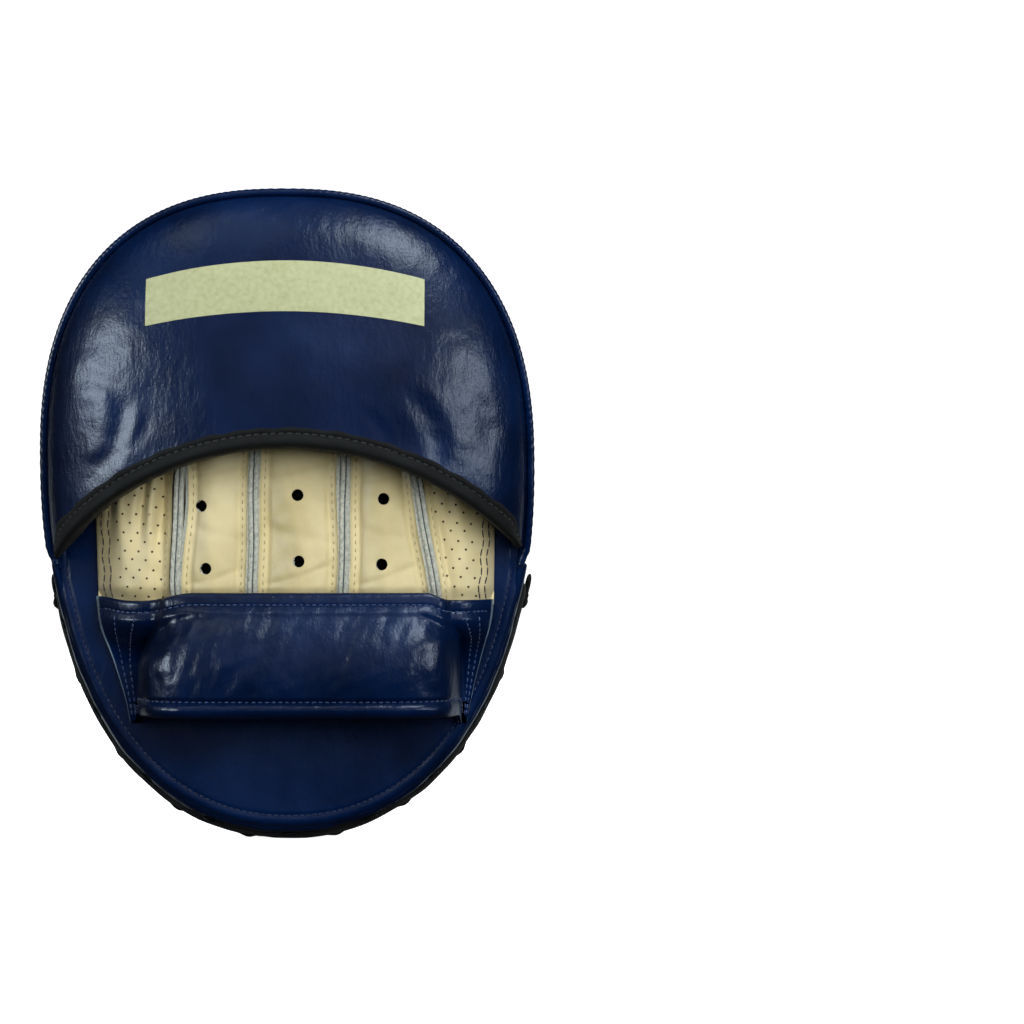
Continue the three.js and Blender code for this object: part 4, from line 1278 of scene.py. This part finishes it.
def make_welts():
    """Each welt is two raw leather edges that stand up side by side, with the seam's thread between; the
    groove between the edges is a darker grey, painted shade.
    """
    section = [(-2.3, -1.6), (-2.35, 1.5), (-2.3, 3.6), (-1.9, 4.5), (-1.2, 4.7), (-0.3, 4.4), (0.0, 3.9),
               (0.3, 4.3), (1.2, 4.6), (1.9, 4.4), (2.3, 3.5), (2.35, 1.5), (2.3, -1.6)]
    # Slot 2, the groove between the two edges, takes the darker grey of painted shade.
    slots = [0, 1, 1, 1, 1, 2, 2, 1, 1, 1, 1, 0, 0]
    rows = []
    for number in range(1, 5):
        tip = min(GLOVE_TIPS[number - 1], GLOVE_TIPS[number]) - 6
        z = np.linspace(GLOVE_BOTTOM - 4.6, tip, 240)
        base = mix(FLANGE_HEIGHT, WELT_HEIGHT, finger_taper(z, tip))
        base = base - 3 * (1 - smooth(z, GLOVE_BOTTOM - 4, GLOVE_BOTTOM + 4))
        lean = {1: 0.1, 2: 0.1, 3: 0.3, 4: 0.6}[number] + 0.3 * np.sin(z / 15 + number * 3)
        centre = seam_x(number, z) + welt_sway(number, z)
        rings = []
        for out, height in section:
            ragged = 0.1 * np.sin(z * 1.3 + out * 4) * (height > 3)
            x = centre + 0.87 * out + lean * max(height, 0) / 5
            rings.append(np.stack([x, BACK_Y - base - height - ragged, z], -1))
        welt = sweep(f"welt_{number}_edges", np.stack(rings, axis=1), [BEIGE, RAW_EDGE, WELT_GROOVE_SHADE], slots)
        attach(welt, "pad")
        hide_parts(f"welt_{number}")
        path = np.stack([centre + lean * 0.78, BACK_Y - base - 3.85, z], -1)
        rows.append((path, np.tile([0.0, -1.0, 0.0], (len(z), 1))))
    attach(stitches("welt_stitches", rows, GREY_THREAD, 3.4, 2.4, 0.24), "pad")


# ---------- The cuff ----------

CUFF_TOP_HEIGHT, CUFF_BOTTOM_HEIGHT, CUFF_FEET = 28, 39, 2


def tab_edges(z):
    """The cut outer edges of the tabs, which slant in towards the bottom."""
    share = smooth(CUFF_TOP - z, -1.5, CUFF_TOP - TAB_BOTTOM)
    left, right = left_tab_low[0], right_tab_high[0]
    return mix(left - 0.6, left + 13, share), mix(right, right - 11, share)


def bridge_sides(z):
    """Where the padded bridge meets the tabs: it bulges over them below the hem."""
    bulge = smooth(CUFF_TOP - z, -2, 30)
    left = mix(CUFF_LEFT + 8.5, CUFF_LEFT - 4.2, bulge)
    return left, mix(CUFF_RIGHT - 2.5, CUFF_RIGHT + 3, smooth(CUFF_TOP - z, 3, 18))


def cuff_arch(t, z, depth):
    """The bridge over the wrist: t runs from its left foot, 0, to its right foot, 1."""
    down = (CUFF_TOP - z) / (CUFF_TOP - CUFF_BOTTOM)
    height = mix(CUFF_BOTTOM_HEIGHT, CUFF_TOP_HEIGHT, np.clip(1 - down, 0, 1.1) ** 2.2) - depth
    power = mix(7.5, 5.5, smooth(z, -2, 10))
    rise = (1 - np.abs(2 * t - 1) ** power) ** (1 / 1.9)
    left, right = bridge_sides(z)
    feet = mix(CUFF_FEET, 21, smooth(z, -4, 13)) - 0.5 * depth
    return mix(left + depth, right - depth, t), mix(feet, height, rise)


def glove_lower_height(x):
    """Height of the glove's panels at their lower edge, which the cuff's hem lies over."""
    left = np.clip((x - GLOVE_SEAMS[0][0]) / (GLOVE_SEAMS[1][0] - GLOVE_SEAMS[0][0] - 2.4), 0, 1)
    right = np.clip((GLOVE_SEAMS[5][0] - x) / (GLOVE_SEAMS[5][0] - GLOVE_SEAMS[4][0] - 2.4), 0, 1)
    across = np.minimum(left, right)
    crown = np.maximum(np.sin(np.pi * across), smooth(across, 0.5, 1.0))
    return mix(FLANGE_HEIGHT, WELT_HEIGHT, across ** 0.7) + PANEL_CROWN * crown


def tab_height(x, z):
    """The tabs drape over the glove at the hem and lie flat on the back cover lower down."""
    left, right = bridge_sides(z)
    beside = np.clip(1 - np.minimum(x - left, right - x) / 10, 0, 1)
    draped = smooth(z, mix(2, -10, beside), 12)
    return mix(2.0, glove_lower_height(x) + 2.0, draped)


def cuff_relief(x, z, across):
    """Pleats at both feet, a soft crown between, and gathers along the two stitched rows."""
    relief = 0.0
    for start, end, width, depth in (((-49, 13), (-53, -8), 3.4, 0.8), ((-38, 13), (-45, 0), 3.0, 0.35),
                                     ((-49, -12), (-54, -22), 2.8, 0.6), ((63, 12), (65, -12), 3.0, 0.9),
                                     ((54, 13), (60, 0), 2.8, 0.5), ((60, -22), (53, -10), 3.0, 0.5),
                                     ((-4, 12), (-12, -4), 3.0, 0.4), ((24, 11), (19, -12), 3.6, 0.4),
                                     ((-24, -19), (-8, -8), 3.0, 0.25)):
        relief = relief + crease(x, z, start, end, width, depth)
    relief = relief + 0.5 * waves(x, z, 44, 91, 0.8) + 0.07 * waves(x, z, 14, 92) + 0.09 * waves(x, z, 6, 93)
    gather = np.exp(-((z - CUFF_TOP + 6) / 4) ** 2) + bell(z - CUFF_BOTTOM, 3, 4)
    return (relief + 0.2 * gather * np.sin(x / 1.7 + np.sin(x / 9))) * across


# The cuff leather's profile down the mitt: distance below its top, and depth below its outer surface.
HEM_PROFILE = [(5.6, 2.9), (2.4, 2.7), (0.6, 2.2), (0.0, 1.2), (0.4, 0.35), (1.4, 0.0), (3.0, 0.0),
               (4.1, 0.15), (4.7, 0.6), (5.4, 0.15), (6.8, -0.3)]
ROLL_PROFILE = [(41.0, -0.6), (42.0, 0.1), (42.7, 1.1), (43.4, 0.0), (44.4, -1.1), (45.8, -1.5), (47.2, -1.0),
                (48.5, 0.3), (49.3, 2.2), (49.5, 4.2), (48.9, 6.2), (47.4, 7.6), (45.0, 8.3), (42.0, 8.6)]
HEM_ROW, ROLL_ROW = 4.7, 42.7
BODY_ROWS = 44


def cuff_profile():
    down = np.linspace(8.0, 40.0, BODY_ROWS)
    body = np.stack([down, -0.6 - 1.9 * np.sin(np.pi * (down - 7) / 34)], -1)
    return np.vstack([HEM_PROFILE, body, ROLL_PROFILE])


def hem_drop(x):
    """The hem stands highest over the bridge and dips where the tabs leave it."""
    left = 3.3 * (1 - smooth(x, -57, -36)) - 1.5 * (1 - smooth(x, -76, -62))
    return left + 3.0 * smooth(x, 56, 66)


def cuff_surface(u, row, lift):
    """One piece of leather: the left tab, the padded bridge and the right tab. row indexes the profile."""
    profile = cuff_profile()
    index = np.arange(len(profile))
    down = np.interp(row, index, profile[:, 0])
    depth = np.interp(row, index, profile[:, 1])
    z = CUFF_TOP + 1.0 - down
    t = np.clip((u - 0.1) / 0.8, 0, 1)
    t = 0.5 - 0.5 * np.cos(np.pi * t)
    x, height = cuff_arch(t, z, -lift)
    outer_left, outer_right = tab_edges(z)
    left, right = bridge_sides(z)
    on_left, on_right = u < 0.1, u > 0.9
    x = np.where(on_left, mix(outer_left, left - lift, np.clip(u / 0.1, 0, 1)), x)
    x = np.where(on_right, mix(right + lift, outer_right, np.clip((u - 0.9) / 0.1, 0, 1)), x)
    flat = tab_height(x, z) + lift
    height = np.where(on_left | on_right, flat, (height ** 9 + flat ** 9) ** (1 / 9))
    raised = smooth(height - flat, 0.0, 9.0)
    height = height + 0.8 * np.exp(-np.minimum(u, 1 - u) / 0.01)
    pleat = bell(x, left, 1.8) + bell(x, right, 1.8)
    height = height - 1.3 * pleat * (1 - raised) * smooth(down, 8, 20) + cuff_relief(x, z, raised)
    height = height - depth * mix(0.3, 1.0, smooth(height, 4, 14))
    tuck = 0.12 * np.maximum(down - 20, 0) * (1 - smooth(height, 4, 12))
    dropped = z - hem_drop(x) * (1 - smooth(down, 4, 26)) - tuck
    return np.stack([x, BACK_Y - np.maximum(height, 0.4 + 1.1 * (lift + 1.1)), dropped], -1)


def make_cuff():
    tab = np.concatenate([[0, 0.004], np.linspace(0.01, 0.1, 17)])
    u = np.concatenate([tab[:-1], np.linspace(0.1, 0.9, 230), 1 - tab[-2::-1]])
    rows = np.linspace(0, len(cuff_profile()) - 1, 180)
    cuff = shell("cuff_leather", cuff_surface, u, rows, 1.1, [NAVY, NAVY_RAW])
    paint_side_edges(cuff, len(u), len(rows))
    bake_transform(cuff)
    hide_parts("cuff_outer", "cuff_roll", "cuff_tab_left", "cuff_tab_right")
    make_cuff_stitches()


def paint_side_edges(cuff, rows, columns):
    """The tabs' cut outer edges show the raw hide, round to a narrow strip of the front."""
    count = rows * columns
    strip = set(range(2 * columns)) | set(range((rows - 2) * columns, count))
    strip |= {v + count for v in strip}
    for polygon in cuff.data.polygons:
        if all(v in strip for v in polygon.vertices):
            polygon.material_index = 1


def profile_row(down):
    """The profile index at a distance below the cuff's top."""
    profile = cuff_profile()
    index = np.arange(5, len(HEM_PROFILE) + BODY_ROWS + 10)
    return float(np.interp(down, profile[index, 0], index))


def make_cuff_stitches():
    u = np.linspace(0.012, 0.988, 1100)
    rows = [surface_row(cuff_surface, u, np.full(1100, profile_row(HEM_ROW)))]
    bridge = np.linspace(0.11, 0.89, 900)
    rows.append(surface_row(cuff_surface, bridge, np.full(900, profile_row(ROLL_ROW))))
    down = np.linspace(profile_row(6.5), profile_row(47), 200)
    for u_place in (0.03, 0.062, 0.938, 0.97):
        rows.append(surface_row(cuff_surface, np.full(200, u_place), down))
    for u_low, u_high in ((0.05, 0.12), (0.88, 0.95)):
        for row in (43.5, 44.6, 45.7):
            sewn = np.linspace(u_low, u_high, 60)
            rows.append(surface_row(cuff_surface, sewn, np.full(60, profile_row(row))))
    thread = stitches("cuff_stitches", rows, NAVY_THREAD)
    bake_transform(thread)


def make_cuff_inside():
    for name, node, slot, depth, thickness, material in (
            ("cuff_padding", "cuff_foam", "foam", 2.0, 4.0, FOAM),
            ("cuff_inside", "cuff_lining", "lining", 6.5, 1.0, LINING)):
        def surface(t, z, lift):
            x, height = cuff_arch(0.5 - 0.5 * np.cos(np.pi * t), z, depth - lift)
            return np.stack([x, BACK_Y - height, z], -1)
        heights = np.linspace(CUFF_TOP - 4.6, CUFF_BOTTOM + 1, 24)
        layer = shell(name, surface, np.linspace(0.02, 0.98, 70), heights, thickness, [material])
        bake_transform(layer)
        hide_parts(node)


# ---------- CAD nodes that stay ----------


def finish_cad_nodes():
    finishes = {
        "foam_face": FOAM, "foam_core": FOAM, "foam_back": FOAM, "stiffener_board": BOARD,
        "glove_palm": LINING,
        "divider_1": LINING, "divider_2": LINING, "divider_3": LINING, "divider_4": LINING,
    }
    for name, material in finishes.items():
        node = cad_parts[name]
        if node.material_slots:
            node.material_slots[0].link = "OBJECT"
            node.material_slots[0].material = material
        else:
            node.data.materials.append(material)


make_camera()
make_backdrop()
make_lights()
make_gusset()
make_facings()
make_tongue()
make_laces()
make_eyelets()
make_knots()
make_face()
make_patch()
make_target_mark()
make_back_cover()
make_hood()
make_binding()
make_piping()
make_hood_mark()
make_panels()
make_welts()
make_cuff()
make_cuff_inside()
finish_cad_nodes()
